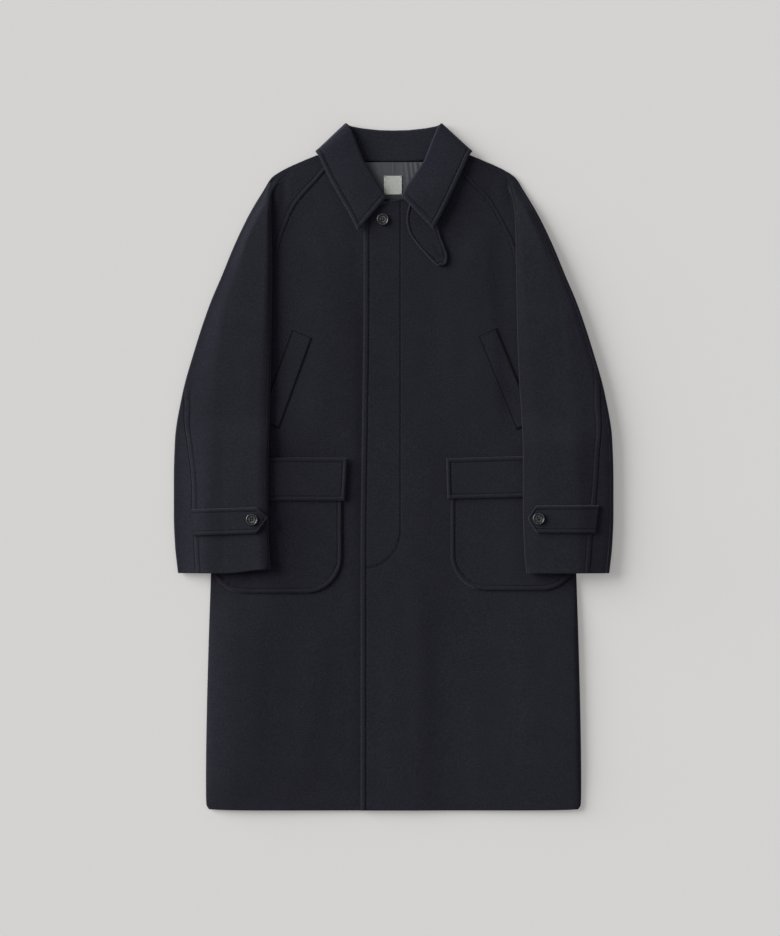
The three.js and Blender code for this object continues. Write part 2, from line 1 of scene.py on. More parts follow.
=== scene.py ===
import bpy
import numpy as np
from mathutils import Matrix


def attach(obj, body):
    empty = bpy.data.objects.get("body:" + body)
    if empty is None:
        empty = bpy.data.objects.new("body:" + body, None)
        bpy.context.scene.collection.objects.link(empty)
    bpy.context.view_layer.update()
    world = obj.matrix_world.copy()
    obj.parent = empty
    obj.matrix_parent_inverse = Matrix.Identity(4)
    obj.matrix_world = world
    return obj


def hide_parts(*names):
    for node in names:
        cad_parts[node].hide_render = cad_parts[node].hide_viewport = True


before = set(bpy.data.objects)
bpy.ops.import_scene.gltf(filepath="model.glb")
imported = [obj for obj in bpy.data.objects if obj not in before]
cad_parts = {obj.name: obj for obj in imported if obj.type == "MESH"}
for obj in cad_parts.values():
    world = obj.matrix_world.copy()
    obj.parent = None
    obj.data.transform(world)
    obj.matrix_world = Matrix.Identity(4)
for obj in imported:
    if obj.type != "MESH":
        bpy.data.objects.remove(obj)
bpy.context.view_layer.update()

# The coat lies on its back and is seen from above. Lengths are millimetres until a mesh is made.
toMetres = 0.001

cloth = {"wall": 2.2, "collar": 3.0, "flap": 2.6, "pocket": 2.0, "lining": 1.0, "label": 0.6,
         "welt": 1.2, "air": 0.5, "seam": 0.3}
layer = cloth["wall"] + cloth["air"]

# Half widths of the coat at heights y: the outline over the sleeves, the back's raglan and side
# edges, the neck hole and the hidden underarm seam. For each side: how far the overarm seam lies
# inside the outline, the sleeve's inner fold, and the front raglan seam.
body = {
    "hem": -573.5, "cuff": -176.0, "armpit": 302.0, "armpitX": 268.0, "backNeck": 513.0,
    "frontNeck": 449.5, "frontEdge": -50.0, "underlap": 20.0, "backLeaf": 488.0,
    "outline": {"y": [-176, -129, -79, -20, 47, 122, 198, 273, 323, 374, 424, 466, 486, 499, 513, 523.5],
                "x": [361, 366, 368, 368, 366, 354, 333, 308, 287, 266, 242, 217, 204, 184, 153, 127]},
    "rear": {"y": [302, 347, 411, 462, 499, 521], "x": [267, 246, 198, 152, 108, 86]},
    "side": {"y": [-573.5, -566, -545, -179, 0, 100, 200, 240, 290, 302],
             "x": [309, 313.4, 314, 306, 299, 294, 286, 280, 270.5, 267]},
    "neck": {"y": [449.5, 452, 474, 498, 512, 521], "x": [14, 26, 50, 72, 80, 83]},
    "under": {"y": [-176, 150, 200, 240, 270, 290, 302], "x": [238, 240, 246, 256, 268, 271.5, 268]},
    "overarm": {
        "left": {"y": [-176, -110, -95, -62, -31, -2, 22, 46, 77, 101, 127, 150, 180, 521],
                 "x": [31, 33.5, 32, 31.5, 31, 29, 25, 21, 13, 8.5, 2.5, -1, -3, -3]},
        "right": {"y": [-176, -110, -95, -59, -31, -2, 22, 46, 77, 101, 127, 150, 180, 521],
                  "x": [34, 35, 32, 30, 27.5, 25.5, 23.5, 20, 15.4, 12, 7, 2.5, -2, -3]},
    },
    "fold": {
        "left": {"y": [-176, -100, 0, 84, 226, 345, 389, 453, 481, 500, 521],
                 "x": [205, 209, 209, 207, 204, 203, 204, 205, 200, 192, 176]},
        "right": {"y": [-176, -149, -60, 28, 84, 146, 226, 334, 434, 462, 483, 500, 521],
                  "x": [222, 219, 216, 216, 214, 210, 207, 205, 202, 197, 192, 184, 168]},
    },
    "raglan": {
        "left": {"y": [302, 305, 312, 322, 334, 347, 369, 389, 411, 437, 459, 478, 493, 521],
                 "x": [265, 254, 230, 210, 199, 195.5, 191, 185.5, 177, 165, 148, 130, 117, 90]},
        "right": {"y": [302, 305, 312, 325, 340, 357, 379, 399, 424, 451, 466, 489, 521],
                  "x": [265, 255, 233, 213, 204, 201, 194, 184, 171, 153, 138, 116, 90]},
    },
}


# -1 on the left, 1 on the right
def signOf(side):
    return -1.0 if side == "left" else 1.0


# straight from a to b as t goes from 0 to 1
def mix(a, b, t):
    return a + (b - a) * t


# a vector divided by its length
def unit(v):
    return v / (np.linalg.norm(v, axis=-1, keepdims=True) + 1e-12)


# smooth step: 3t2 - 2t3 between two places
def ramp(value, start, stop):
    t = np.clip((value - start) / (stop - start), 0, 1)
    return t * t * (3 - 2 * t)


# a column of a table at y: cubic pieces whose slopes are the weighted harmonic mean of the
# slopes on both sides, nought at a turn, so the curve never overshoots its rows
def column(table, y):
    ys = np.array(table["y"], float)
    xs = np.array(table["x"], float)
    h = np.diff(ys)
    slope = np.diff(xs) / h
    tangent = np.concatenate([slope[:1], np.zeros(len(ys) - 2), slope[-1:]])
    wide, narrow = 2 * h[1:] + h[:-1], h[1:] + 2 * h[:-1]
    same = slope[:-1] * slope[1:] > 0
    a = np.where(same, slope[:-1], 1.0)
    b = np.where(same, slope[1:], 1.0)
    tangent[1:-1] = np.where(same, (wide + narrow) / (wide / a + narrow / b), 0.0)
    place = np.clip(y, ys[0], ys[-1])
    k = np.clip(np.searchsorted(ys, place, side="right") - 1, 0, len(ys) - 2)
    t = (place - ys[k]) / h[k]
    keep = (1 + 2 * t) * (1 - t) ** 2 * xs[k] + t * t * (3 - 2 * t) * xs[k + 1]
    return keep + h[k] * t * (1 - t) * ((1 - t) * tangent[k] - t * tangent[k + 1])


# Fullness of the body: how far the front rises over the back, across the skirt, the pockets and the
# chest. The places are those at a half width of 306 mm.
fullness = {
    "skirt": {"y": [-306, -304.5, -301, -294, -282, -268, -257, -232, -200, -150, -100, -70, -52, -30, 0,
                    40, 76, 105, 150, 220, 270, 297, 302.5, 305, 306],
              "x": [0, 1.2, 2.7, 4.6, 6.7, 8.2, 8.7, 8.5, 7.6, 5.5, 3.3, 2.3, 2.1, 2.0, 2.6, 2.6, 1.6,
                    2.2, 3.6, 5.6, 6.6, 6.2, 4.6, 1.6, 0]},
    "pockets": {"y": [-306, -290, -240, -208, -170, -120, -90, -68, -52, 0, 58, 100, 150, 205, 240, 280,
                      302, 306],
                "x": [0, 1.6, 4.5, 6.5, 4.9, 2.9, 2.4, 2.4, 2.4, 2.4, 2.8, 2.7, 3.2, 4.4, 4.2, 3.6, 2.6, 0]},
    "chest": {"y": [-306, -290, -240, -205, -165, -130, -110, -92, -70, -50, 0, 40, 70, 110, 150, 178, 198,
                    210, 240, 290, 306],
              "x": [0, 0.6, 1.6, 2.6, 4.0, 4.6, 4.5, 4.0, 2.9, 2.7, 1.9, 1.5, 1.9, 3.2, 4.4, 4.0, 2.2, 1.6,
                    1.5, 0.6, 0]},
    "width": 306.0, "toPockets": (-290, -178), "toChest": (10, 110), "shoulder": (345, 445),
    "atHem": 0.45, "hemRun": 80,
}


# the three rows mixed up the coat, lower at the hem and gone at the shoulder
def loft(x, y):
    place = x * fullness["width"] / column(body["side"], y)
    skirt, pocketed, chest = (column(fullness[row], place) for row in ("skirt", "pockets", "chest"))
    lower = mix(skirt, pocketed, ramp(y, *fullness["toPockets"]))
    whole = mix(lower, chest, ramp(y, *fullness["toChest"]))
    fromHem = ramp(y, body["hem"], body["hem"] + fullness["hemRun"])
    along = mix(fullness["atHem"], 1.0, fromHem) * (1 - ramp(y, *fullness["shoulder"]))
    return whole * along


# Where the collar, the lining and the lap lift what lies over them, where the creases end under the
# sleeves, and how the hem curves. All layers take their height from these, so they stay apart.
rises = {"collar": {"half": 127, "flat": 134, "gone": 200, "bow": 35, "foot": 90, "head": 6},
         "lining": {"y": (370, 430), "x": (90, 170)},
         "lap": (body["underlap"] + 5, 125),
         "swell": {"half": 195, "hemRun": 120, "top": (330, 420), "mean": 0.7, "wave": 0.5,
                   "crest": -250, "length": 140},
         "hem": {"high": 2.4, "half": 314, "power": 10, "top": -500},
         "underSleeve": {"x": (185, 204), "y": (-185, -175)}}


# the back of the collar lifts what lies over it: a smooth step up to the leaf's bowed lower edge
def neckLift(x, y):
    at = rises["collar"]
    across = np.minimum(np.abs(x), at["flat"]) / at["half"]
    edge = body["backLeaf"] + at["bow"] * across ** 2
    rise = ramp(y, edge - at["foot"], edge - at["head"]) * (1 - ramp(np.abs(x), at["flat"], at["gone"]))
    return (cloth["collar"] + cloth["air"]) * rise


# the lining lifts the fronts: smooth steps along and across
def liningLift(x, y):
    at = rises["lining"]
    return (cloth["lining"] + cloth["air"]) * ramp(y, *at["y"]) * (1 - ramp(np.abs(x), *at["x"]))


# one layer more where the right front laps over the left one
def overlapLift(x):
    return layer * (1 - ramp(x, *rises["lap"]))


# a low swell down the middle: a squared parabola across, a cosine along
def frontSwell(x, y):
    at = rises["swell"]
    across = np.maximum(0, 1 - (x / at["half"]) ** 2) ** 2
    along = ramp(y, body["hem"], body["hem"] + at["hemRun"]) * (1 - ramp(y, *at["top"]))
    return across * along * (at["mean"] + at["wave"] * np.cos((y - at["crest"]) / at["length"]))


# Soft creases, each along a straight line from a to b.
creases = {
    "front": [
        {"a": (-120, -250), "b": (-150, -520), "wide": 26, "high": 0.8},
        {"a": (-230, -260), "b": (-245, -500), "wide": 22, "high": 0.7},
        {"a": (110, -270), "b": (150, -540), "wide": 28, "high": 0.8},
        {"a": (215, -240), "b": (235, -480), "wide": 20, "high": 0.7},
        {"a": (40, -200), "b": (52, -480), "wide": 18, "high": 0.6},
        {"a": (-110, 330), "b": (-128, 60), "wide": 24, "high": 0.7},
        {"a": (96, 310), "b": (104, 40), "wide": 22, "high": 0.7},
        {"a": (-150, 420), "b": (-100, 330), "wide": 16, "high": 0.5},
        {"a": (150, 400), "b": (112, 320), "wide": 16, "high": 0.5},
    ],
    "left": [
        {"a": (-50, 300), "b": (-50, -180), "wide": 12, "high": -2.5},
        {"a": (-50, -150), "b": (-50, -560), "wide": 12, "high": -1.3},
    ],
    "sleeve": [
        {"a": (246, 400), "b": (262, 250), "wide": 18, "high": 0.35},
        {"a": (285, 250), "b": (300, 60), "wide": 24, "high": 0.4},
        {"a": (238, 240), "b": (246, 40), "wide": 18, "high": 0.35},
        {"a": (262, 20), "b": (252, -60), "wide": 18, "high": 0.3},
    ],
}
creaseFade = {"in": (-0.15, 0.25), "out": (0.7, 1.2)}


# a bell across the line, fading in and out along it
def bell(one, x, y):
    ax, ay = one["a"]
    bx, by = one["b"]
    length = np.hypot(bx - ax, by - ay)
    along = ((x - ax) * (bx - ax) + (y - ay) * (by - ay)) / length ** 2
    off = ((x - ax) * (by - ay) - (y - ay) * (bx - ax)) / length
    fade = ramp(along, *creaseFade["in"]) * (1 - ramp(along, *creaseFade["out"]))
    return one["high"] * fade * np.exp(-(off / one["wide"]) ** 2)


# the sum of the bells of one kind
def creased(kind, x, y):
    return sum((bell(one, x, y) for one in creases[kind]), np.zeros(np.broadcast(x, y).shape))


# the middle of a front's cloth: the layer below it, the lifts, the swell, the fullness, and the
# creases, which end where a sleeve lies over them
def frontMid(x, y):
    at = rises["underSleeve"]
    calm = 1 - ramp(np.abs(x), *at["x"]) * ramp(y, *at["y"])
    return (layer + cloth["wall"] / 2 + neckLift(x, y) + liningLift(x, y) + frontSwell(x, y)
            + loft(x, y) + creased("front", x, y) * calm)


# the left front dips beside the edge of the right one, which lies over it
def frontTop(side, x, y):
    over = overlapLift(x) if side == "right" else creased("left", x, y)
    return frontMid(x, y) + cloth["wall"] / 2 + over


# the level that a sleeve lies on: two layers, then the welt, then the flap lower down
def sleeveFloor(y):
    overWelt = (cloth["welt"] + cloth["air"]) * ramp(y, *sleeve["overWelt"])
    flapStack = cloth["pocket"] + cloth["flap"] + 2 * cloth["air"] - cloth["welt"]
    return 2 * layer + cloth["wall"] / 2 + overWelt + flapStack * ramp(y, *sleeve["overFlap"])


# the sleeve is a flat tube: rounded at its folded edges and a little full between them
sleeve = {
    "left": {"innerFull": 4.6, "outerFull": 1.6, "full": 2.4, "rise": 0.1, "fall": 0.36, "hover": 2.5,
             "foldShade": 0.2},
    "right": {"innerFull": 2.8, "outerFull": 7.0, "full": 2.2, "rise": 0.16, "fall": 0.1, "hover": 4.5,
              "foldShade": 0.55},
    "bridge": (284, 346), "closing": (425, 500), "landing": (330, 440), "overWelt": (290, 240),
    "overFlap": (90, 34), "taper": (250, 470), "tapered": 0.75,
    "crease": {"top": 481, "fromFold": 4, "fromArmpit": 1, "fromOuter": 22, "clear": 1},
    "down": {"fromCrease": 2, "fromSide": 3, "toOuter": 4},
}


# where the sleeve's edges, folds and seams lie at height y, and how round its folds are
def sleeveAt(side, y):
    shape, crease = sleeve[side], sleeve["crease"]
    outer = column(body["outline"], y)
    fold = column(body["fold"][side], y)
    rim = (layer + cloth["wall"]) / 2
    drop = np.clip((crease["top"] - y) / (crease["top"] - body["armpit"]), 0, 1)
    creaseX = mix(fold + crease["fromFold"], body["armpitX"] - crease["fromArmpit"], drop)
    creaseX = np.minimum(creaseX, outer - crease["fromOuter"])
    slack = 1 - ramp(y, *sleeve["closing"])
    innerRadius = (layer + shape["innerFull"] * slack) / 2
    outerRadius = (layer + shape["outerFull"] * slack) / 2
    return {"side": side, "y": y, "outer": outer, "fold": fold, "seam": column(body["raglan"][side], y),
            "rear": column(body["rear"], y), "crease": np.maximum(fold + rim + crease["clear"], creaseX),
            "over": outer - column(body["overarm"][side], y), "under": column(body["under"], y),
            "bodySide": column(body["side"], y), "slack": slack, "innerRadius": innerRadius,
            "outerRadius": outerRadius, "inside": fold + innerRadius + cloth["wall"] / 2,
            "outside": outer - outerRadius - cloth["wall"] / 2}


# the lower layer: it follows the front under it as far as the front's side, then a smooth step down
def sleeveUnderMid(row, x):
    gap = sleeve["down"]
    above = row["y"] > body["armpit"] - 1
    start = np.where(above, row["crease"] + gap["fromCrease"], row["bodySide"] + gap["fromSide"])
    down = ramp(x, start, row["outer"] - gap["toOuter"])
    near, far = sleeve["bridge"]
    rise = loft(signOf(row["side"]) * np.minimum(x, near), row["y"]) * (1 - ramp(x, near, far))
    floorHere = sleeveFloor(row["y"]) + rise
    return neckLift(x, row["y"]) + mix(floorHere, cloth["wall"] / 2 + hoverOf(row), down)


# how far the sleeve's outer edge stays off the surface that the coat lies on
def hoverOf(row):
    return sleeve[row["side"]]["hover"] * (1 - ramp(row["y"], *sleeve["landing"]))


# the upper layer: the lower one, the tube's two edge heights mixed across, and a plateau that a
# parabola brings in near each edge
def sleeveTopMid(row, x):
    across = np.clip((x - row["inside"]) / (row["outside"] - row["inside"]), 0, 1)
    edges = mix(2 * row["innerRadius"], 2 * row["outerRadius"], across)
    shape = sleeve[row["side"]]
    rise = 1 - (1 - np.clip(across / shape["rise"], 0, 1)) ** 2
    fall = 1 - (1 - np.clip((1 - across) / shape["fall"], 0, 1)) ** 2
    swell = shape["full"] * rise * fall * (1 - ramp(row["y"], *sleeve["taper"]) * sleeve["tapered"])
    return sleeveUnderMid(row, x) + edges + swell + creased("sleeve", x, row["y"]) * rise * fall


# a mesh from corner points in millimetres and faces of four, all smooth, with a painted-shade value at each
# point when one is given
def makeObject(name, points, faces, material, paintedShade=None):
    mesh = bpy.data.meshes.new(name)
    mesh.vertices.add(len(points))
    mesh.vertices.foreach_set("co", (points * toMetres).astype(np.float32).ravel())
    mesh.loops.add(faces.size)
    mesh.loops.foreach_set("vertex_index", faces.astype(np.int32).ravel())
    mesh.polygons.add(len(faces))
    mesh.polygons.foreach_set("loop_start", np.arange(len(faces), dtype=np.int32) * faces.shape[1])
    mesh.polygons.foreach_set("use_smooth", np.ones(len(faces), dtype=bool))
    mesh.materials.append(material)
    mesh.update(calc_edges=True)
    if paintedShade is not None:
        mesh.attributes.new("paintedShade", "FLOAT", "POINT").data.foreach_set("value", paintedShade.astype(np.float32))
    mesh.validate()
    piece = bpy.data.objects.new(name, mesh)
    bpy.context.scene.collection.objects.link(piece)
    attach(piece, "root")
    return piece


# unit normals from the differences along and across a grid, turned so that the one at up points up
def surfaceNormals(grid, up):
    along = np.gradient(grid, axis=0)
    across = np.gradient(grid, axis=1)
    normal = unit(np.cross(across, along))
    return normal * np.sign(normal[up][2])


# the border of a patch of faces: its edges that no face shares from the other side, and at their
# points the unit direction that leads out along the surface
def borderOf(quads, flat, normal):
    edges = np.concatenate([quads[:, [k, (k + 1) % 4]] for k in range(4)])
    code = edges[:, 0] * len(flat) + edges[:, 1]
    back = edges[:, 1] * len(flat) + edges[:, 0]
    rim = edges[~np.isin(code, back)]
    way = unit(flat[rim[:, 1]] - flat[rim[:, 0]])
    outward = np.zeros_like(flat)
    for end in (0, 1):
        np.add.at(outward, rim[:, end], np.cross(way, normal[rim[:, end]]))
    return rim, unit(outward)


# faces of four between the closed loops of a tube: the last axis runs round, the one before along
def tubeFaces(ids):
    after = np.roll(ids, -1, axis=-1)
    corners = [ids[..., :-1, :], after[..., :-1, :], after[..., 1:, :], ids[..., 1:, :]]
    return np.stack(corners, axis=-1).reshape(-1, 4)


# a wall's rounded rim, and the painted shade on its rim, its lower loops, its underside and its grooves
rimTable = {"rounding": 0.8, "loops": ((0.36, 0.3), (0.0, 0.0), (-0.36, 0.3)), "shade": 0.35,
            "lowerShade": 0.8, "underShade": 0.5, "grooveDepth": 0.5, "grooveShade": 0.75}


# a wall round a grid of middle points: the points moved out by half the wall and any relief along
# the surface normal, the same points moved in, and a rounded rim of three loops between them.
# Painted shade, from 0 to 1 at each point, darkens the colour where seams, grooves, rims and the underside
# lie in shade.
def makeWall(name, grid, wall, up, relief=0.0, keep=None, paintedShade=0.0, rounding=rimTable["rounding"],
             rimShade=rimTable["shade"], material=None):
    ni, nj = grid.shape[:2]
    total = ni * nj
    index = np.arange(total).reshape(ni, nj)
    quads = np.stack([index[:-1, :-1], index[:-1, 1:], index[1:, 1:], index[1:, :-1]], axis=-1)
    quads = quads[keep] if keep is not None else quads.reshape(-1, 4)
    flat = grid.reshape(-1, 3)
    normal = surfaceNormals(grid, up).reshape(-1, 3)
    a, b, c = flat[quads[0, :3]]
    if np.dot(np.cross(b - a, c - a), normal[quads[0, 0]]) < 0:
        quads = quads[:, ::-1]
    rim, outward = borderOf(quads, flat, normal)
    rimIds = np.unique(rim)
    height = np.broadcast_to(relief, (ni, nj)).reshape(-1, 1)
    upper = flat + normal * (wall / 2 + height) - outward * rounding
    lower = flat - normal * wall / 2 - outward * rounding
    loops = [flat[rimIds] + (normal * wall * part - outward * rounding * pull)[rimIds]
             for part, pull in rimTable["loops"]]
    points = np.concatenate([upper, lower] + loops)
    place = np.zeros(total, dtype=int)
    place[rimIds] = np.arange(len(rimIds))
    rings = [rim] + [place[rim] + 2 * total + k * len(rimIds) for k in range(3)] + [rim + total]
    faces = [quads, quads[:, ::-1] + total]
    for above, below in zip(rings[:-1], rings[1:]):
        faces.append(np.stack([above[:, 1], above[:, 0], below[:, 0], below[:, 1]], axis=1))
    grooves = np.clip(-height.ravel() / rimTable["grooveDepth"], 0, 1) * rimTable["grooveShade"]
    shade = np.maximum(grooves, np.broadcast_to(paintedShade, (ni, nj)).ravel())
    shades = np.concatenate([shade, np.full(total, rimTable["underShade"]), np.full(len(rimIds), rimShade),
                             np.full(2 * len(rimIds), rimTable["lowerShade"])])
    used, faces = np.unique(np.concatenate(faces), return_inverse=True)
    piece = makeObject(name, points[used], faces.reshape(-1, 4), material or navy, shades[used])
    return piece, upper.reshape(ni, nj, 3)


# places from 0 to 1 along a length: at set distances from its ends, and even ones between
def spread(length, count, near=(0, 1.1, 2.4, 4, 5.6, 6.4, 7, 7.6, 8.4, 10), far=True):
    ends = np.array(near, float)
    tail = length - ends[::-1] if far else np.array([length])
    middle = np.linspace(ends[-1], tail[0], count + 2)[1:-1]
    return np.concatenate([ends, middle, tail]) / length


# a stitched groove: a bell downward, at a set distance
def groove(distance, place, deep=0.55, wide=0.9):
    return -deep * np.exp(-((distance - place) / wide) ** 2)


# a topstitched edge: half a sine makes the strip outside the stitches plump, a groove holds them
def stitchedEdge(distance, place, plump, deep=0.6, wide=0.9):
    inside = np.clip(distance / place, 0, 1)
    return plump * np.sin(np.pi * inside) ** 0.8 * (distance < place) + groove(distance, place, deep, wide)


# Materials: their colour and bump come from noise and waves in the piece's own coordinates; on most of them a
# painted-shade value at each point darkens the colour.
def newMaterial(name, roughness):
    material = bpy.data.materials.new(name)
    material.use_nodes = True
    tree = material.node_tree
    shader = tree.nodes["Principled BSDF"]
    shader.inputs["Roughness"].default_value = roughness
    coordinates = tree.nodes.new("ShaderNodeTexCoord")
    return material, tree, shader, coordinates.outputs["Object"]


# how strong a noise is, from 0 to 1
def noiseNode(tree, source, scale, detail):
    node = tree.nodes.new("ShaderNodeTexNoise")
    node.inputs["Scale"].default_value = scale
    node.inputs["Detail"].default_value = detail
    node.inputs["Roughness"].default_value = 0.6
    tree.links.new(source, node.inputs["Vector"])
    return node.outputs["Fac"]


# straight waves one way, bent a little by the distortion
def waveNode(tree, source, scale, direction, distortion):
    node = tree.nodes.new("ShaderNodeTexWave")
    node.wave_type = "BANDS"
    node.bands_direction = direction
    node.inputs["Scale"].default_value = scale
    node.inputs["Distortion"].default_value = distortion
    tree.links.new(source, node.inputs["Vector"])
    return node.outputs["Color"]


# colours at set places, mixed straight between them
def rampNode(tree, source, stops):
    node = tree.nodes.new("ShaderNodeValToRGB")
    for element, (place, colour) in zip(node.color_ramp.elements, (stops[0], stops[-1])):
        element.position = place
        element.color = (*colour, 1)
    for place, colour in stops[1:-1]:
        node.color_ramp.elements.new(place).color = (*colour, 1)
    tree.links.new(source, node.inputs["Fac"])
    return node.outputs["Color"]


# one colour times another
def multiplied(tree, first, second):
    node = tree.nodes.new("ShaderNodeMix")
    node.data_type = "RGBA"
    node.blend_type = "MULTIPLY"
    node.inputs["Factor"].default_value = 1.0
    tree.links.new(first, node.inputs["A"])
    tree.links.new(second, node.inputs["B"])
    return node.outputs["Result"]


# a bump from a height, laid over another one if there is one before it
def bumpNode(tree, height, strength, distance, before=None):
    node = tree.nodes.new("ShaderNodeBump")
    node.inputs["Strength"].default_value = strength
    node.inputs["Distance"].default_value = distance
    tree.links.new(height, node.inputs["Height"])
    if before is not None:
        tree.links.new(before, node.inputs["Normal"])
    return node.outputs["Normal"]


# link the shader's colour and bump, and set its other sockets
def finishShader(tree, shader, colour, bump, sockets):
    tree.links.new(colour, shader.inputs["Base Color"])
    tree.links.new(bump, shader.inputs["Normal"])
    for name, value in sockets.items():
        shader.inputs[name].default_value = value


melton = {"dark": (0.0060, 0.0060, 0.0102), "mid": (0.0110, 0.0110, 0.0180), "light": (0.020, 0.020, 0.031),
          "fibre": 1100, "fleck": 430, "cloud": 30, "roughness": 0.92, "shade": 0.92, "shadeEnd": 0.85,
          "stretch": (1.0, 0.55, 1.0),
          "sockets": {"Sheen Weight": 0.22, "Specular IOR Level": 0.18, "Sheen Roughness": 0.45,
                      "Sheen Tint": (0.55, 0.58, 0.68, 1)}}


# painted shade: the colour is darker where the per-point shade value is high
def shadedBy(tree, colour, strength, darkest=1.0):
    paintedShade = tree.nodes.new("ShaderNodeAttribute")
    paintedShade.attribute_name = "paintedShade"
    low = 1 - strength
    tone = rampNode(tree, paintedShade.outputs["Fac"], [(0.0, (1, 1, 1)), (darkest, (low, low, low))])
    return multiplied(tree, colour, tone)


# wool melton: fibres, flecks and clouds of tone multiplied, darkened by painted shade at each point, a dull
# grain and a low sheen
def meltonMaterial(name, gain):
    material, tree, shader, where = newMaterial(name, melton["roughness"])
    stretch = tree.nodes.new("ShaderNodeMapping")
    stretch.inputs["Scale"].default_value = melton["stretch"]
    tree.links.new(where, stretch.inputs["Vector"])
    fibres = noiseNode(tree, stretch.outputs["Vector"], melton["fibre"], 4)
    flecks = noiseNode(tree, where, melton["fleck"], 3)
    clouds = noiseNode(tree, where, melton["cloud"], 3)
    tones = [tuple(gain * value for value in melton[tone]) for tone in ("dark", "mid", "light")]
    base = rampNode(tree, fibres, [(0.28, tones[0]), (0.52, tones[1]), (0.8, tones[2])])
    fleckTone = rampNode(tree, flecks, [(0.34, (0.66, 0.66, 0.68)), (0.64, (1.33, 1.32, 1.29))])
    cloudTone = rampNode(tree, clouds, [(0.3, (0.92, 0.92, 0.95)), (0.7, (1.08, 1.07, 1.05))])
    toned = multiplied(tree, base, fleckTone)
    toned = multiplied(tree, toned, cloudTone)
    colour = shadedBy(tree, toned, melton["shade"], melton["shadeEnd"])
    fine = bumpNode(tree, fibres, 0.5, 0.0005)
    finishShader(tree, shader, colour, bumpNode(tree, flecks, 0.35, 0.0006, fine), melton["sockets"])
    return material


# sewing thread: a fine twist from near black to navy
def threadMaterial():
    material, tree, shader, where = newMaterial("navyThread", 0.6)
    twist = noiseNode(tree, where, 1600, 2)
    tone = rampNode(tree, twist, [(0.3, (0.003, 0.003, 0.005)), (0.7, (0.009, 0.009, 0.014))])
    finishShader(tree, shader, tone, bumpNode(tree, twist, 0.4, 0.0002), {})
    return material


# twill lining: fine slanted waves over a grey ground
def liningMaterial():
    material, tree, shader, where = newMaterial("greyLining", 0.5)
    waves = waveNode(tree, where, 700, "DIAGONAL", 0.6)
    grain = noiseNode(tree, where, 900, 3)
    ground = rampNode(tree, grain, [(0.3, (0.040, 0.044, 0.051)), (0.7, (0.062, 0.068, 0.077))])
    twill = rampNode(tree, waves, [(0.2, (0.9, 0.9, 0.9)), (0.8, (1.1, 1.1, 1.1))])
    colour = shadedBy(tree, multiplied(tree, ground, twill), 0.6)
    finishShader(tree, shader, colour, bumpNode(tree, waves, 0.2, 0.0002), {"Sheen Weight": 0.15})
    return material


# woven label: fine cross ribs on a pale grey green
def labelMaterial():
    material, tree, shader, where = newMaterial("paleLabel", 0.75)
    weave = waveNode(tree, where, 900, "Y", 0.0)
    grain = noiseNode(tree, where, 700, 3)
    tone = rampNode(tree, grain, [(0.3, (0.40, 0.415, 0.385)), (0.7, (0.48, 0.495, 0.455))])
    finishShader(tree, shader, tone, bumpNode(tree, weave, 0.35, 0.0002), {})
    return material


# polished horn-like plastic, mottled from black to grey, darkened by painted shade at each point
def buttonMaterial():
    material, tree, shader, where = newMaterial("blackButton", 0.3)
    grain = noiseNode(tree, where, 300, 4)
    tone = rampNode(tree, grain, [(0.36, (0.018, 0.018, 0.02)), (0.66, (0.155, 0.158, 0.17))])
    finishShader(tree, shader, shadedBy(tree, tone, 0.96), bumpNode(tree, grain, 0.05, 0.0004),
                 {"Specular IOR Level": 0.35, "Coat Weight": 0.15, "Coat Roughness": 0.15})
    return material


# the pale floor: it glows a little, which keeps the shadows on it soft
def floorMaterial():
    material, tree, shader, where = newMaterial("paleFloor", 1.0)
    shader.inputs["Specular IOR Level"].default_value = 0.0
    clouds = noiseNode(tree, where, 3, 2)
    tone = rampNode(tree, clouds, [(0.3, (0.52, 0.514, 0.504)), (0.7, (0.524, 0.518, 0.508))])
    tree.links.new(tone, shader.inputs["Base Color"])
    shader.inputs["Emission Color"].default_value = (1.0, 0.988, 0.968, 1)
    shader.inputs["Emission Strength"].default_value = 0.2
    return material


navy = meltonMaterial("navyMelton", 1.0)
# the collar gets a lighter copy of the same melton: painted light
paintedLightCollarNavy = meltonMaterial("collarMeltonPaintedLight", 1.22)
thread = threadMaterial()
print("materials made")

# sewing: every path gets its stitches here, and they become one mesh at the end
stitchPaths = []
sewing = {"length": 2.9, "pitch": 3.9, "radius": 0.36, "sides": 4, "rings": 4, "first": 0.5,
          "arch": (0.08, 0.84), "rise": 0.3, "sunk": 0.1}


# remember a path and how far its thread sinks into the cloth
def sew(points, sink=0.15):
    stitchPaths.append((np.asarray(points, float), sink))


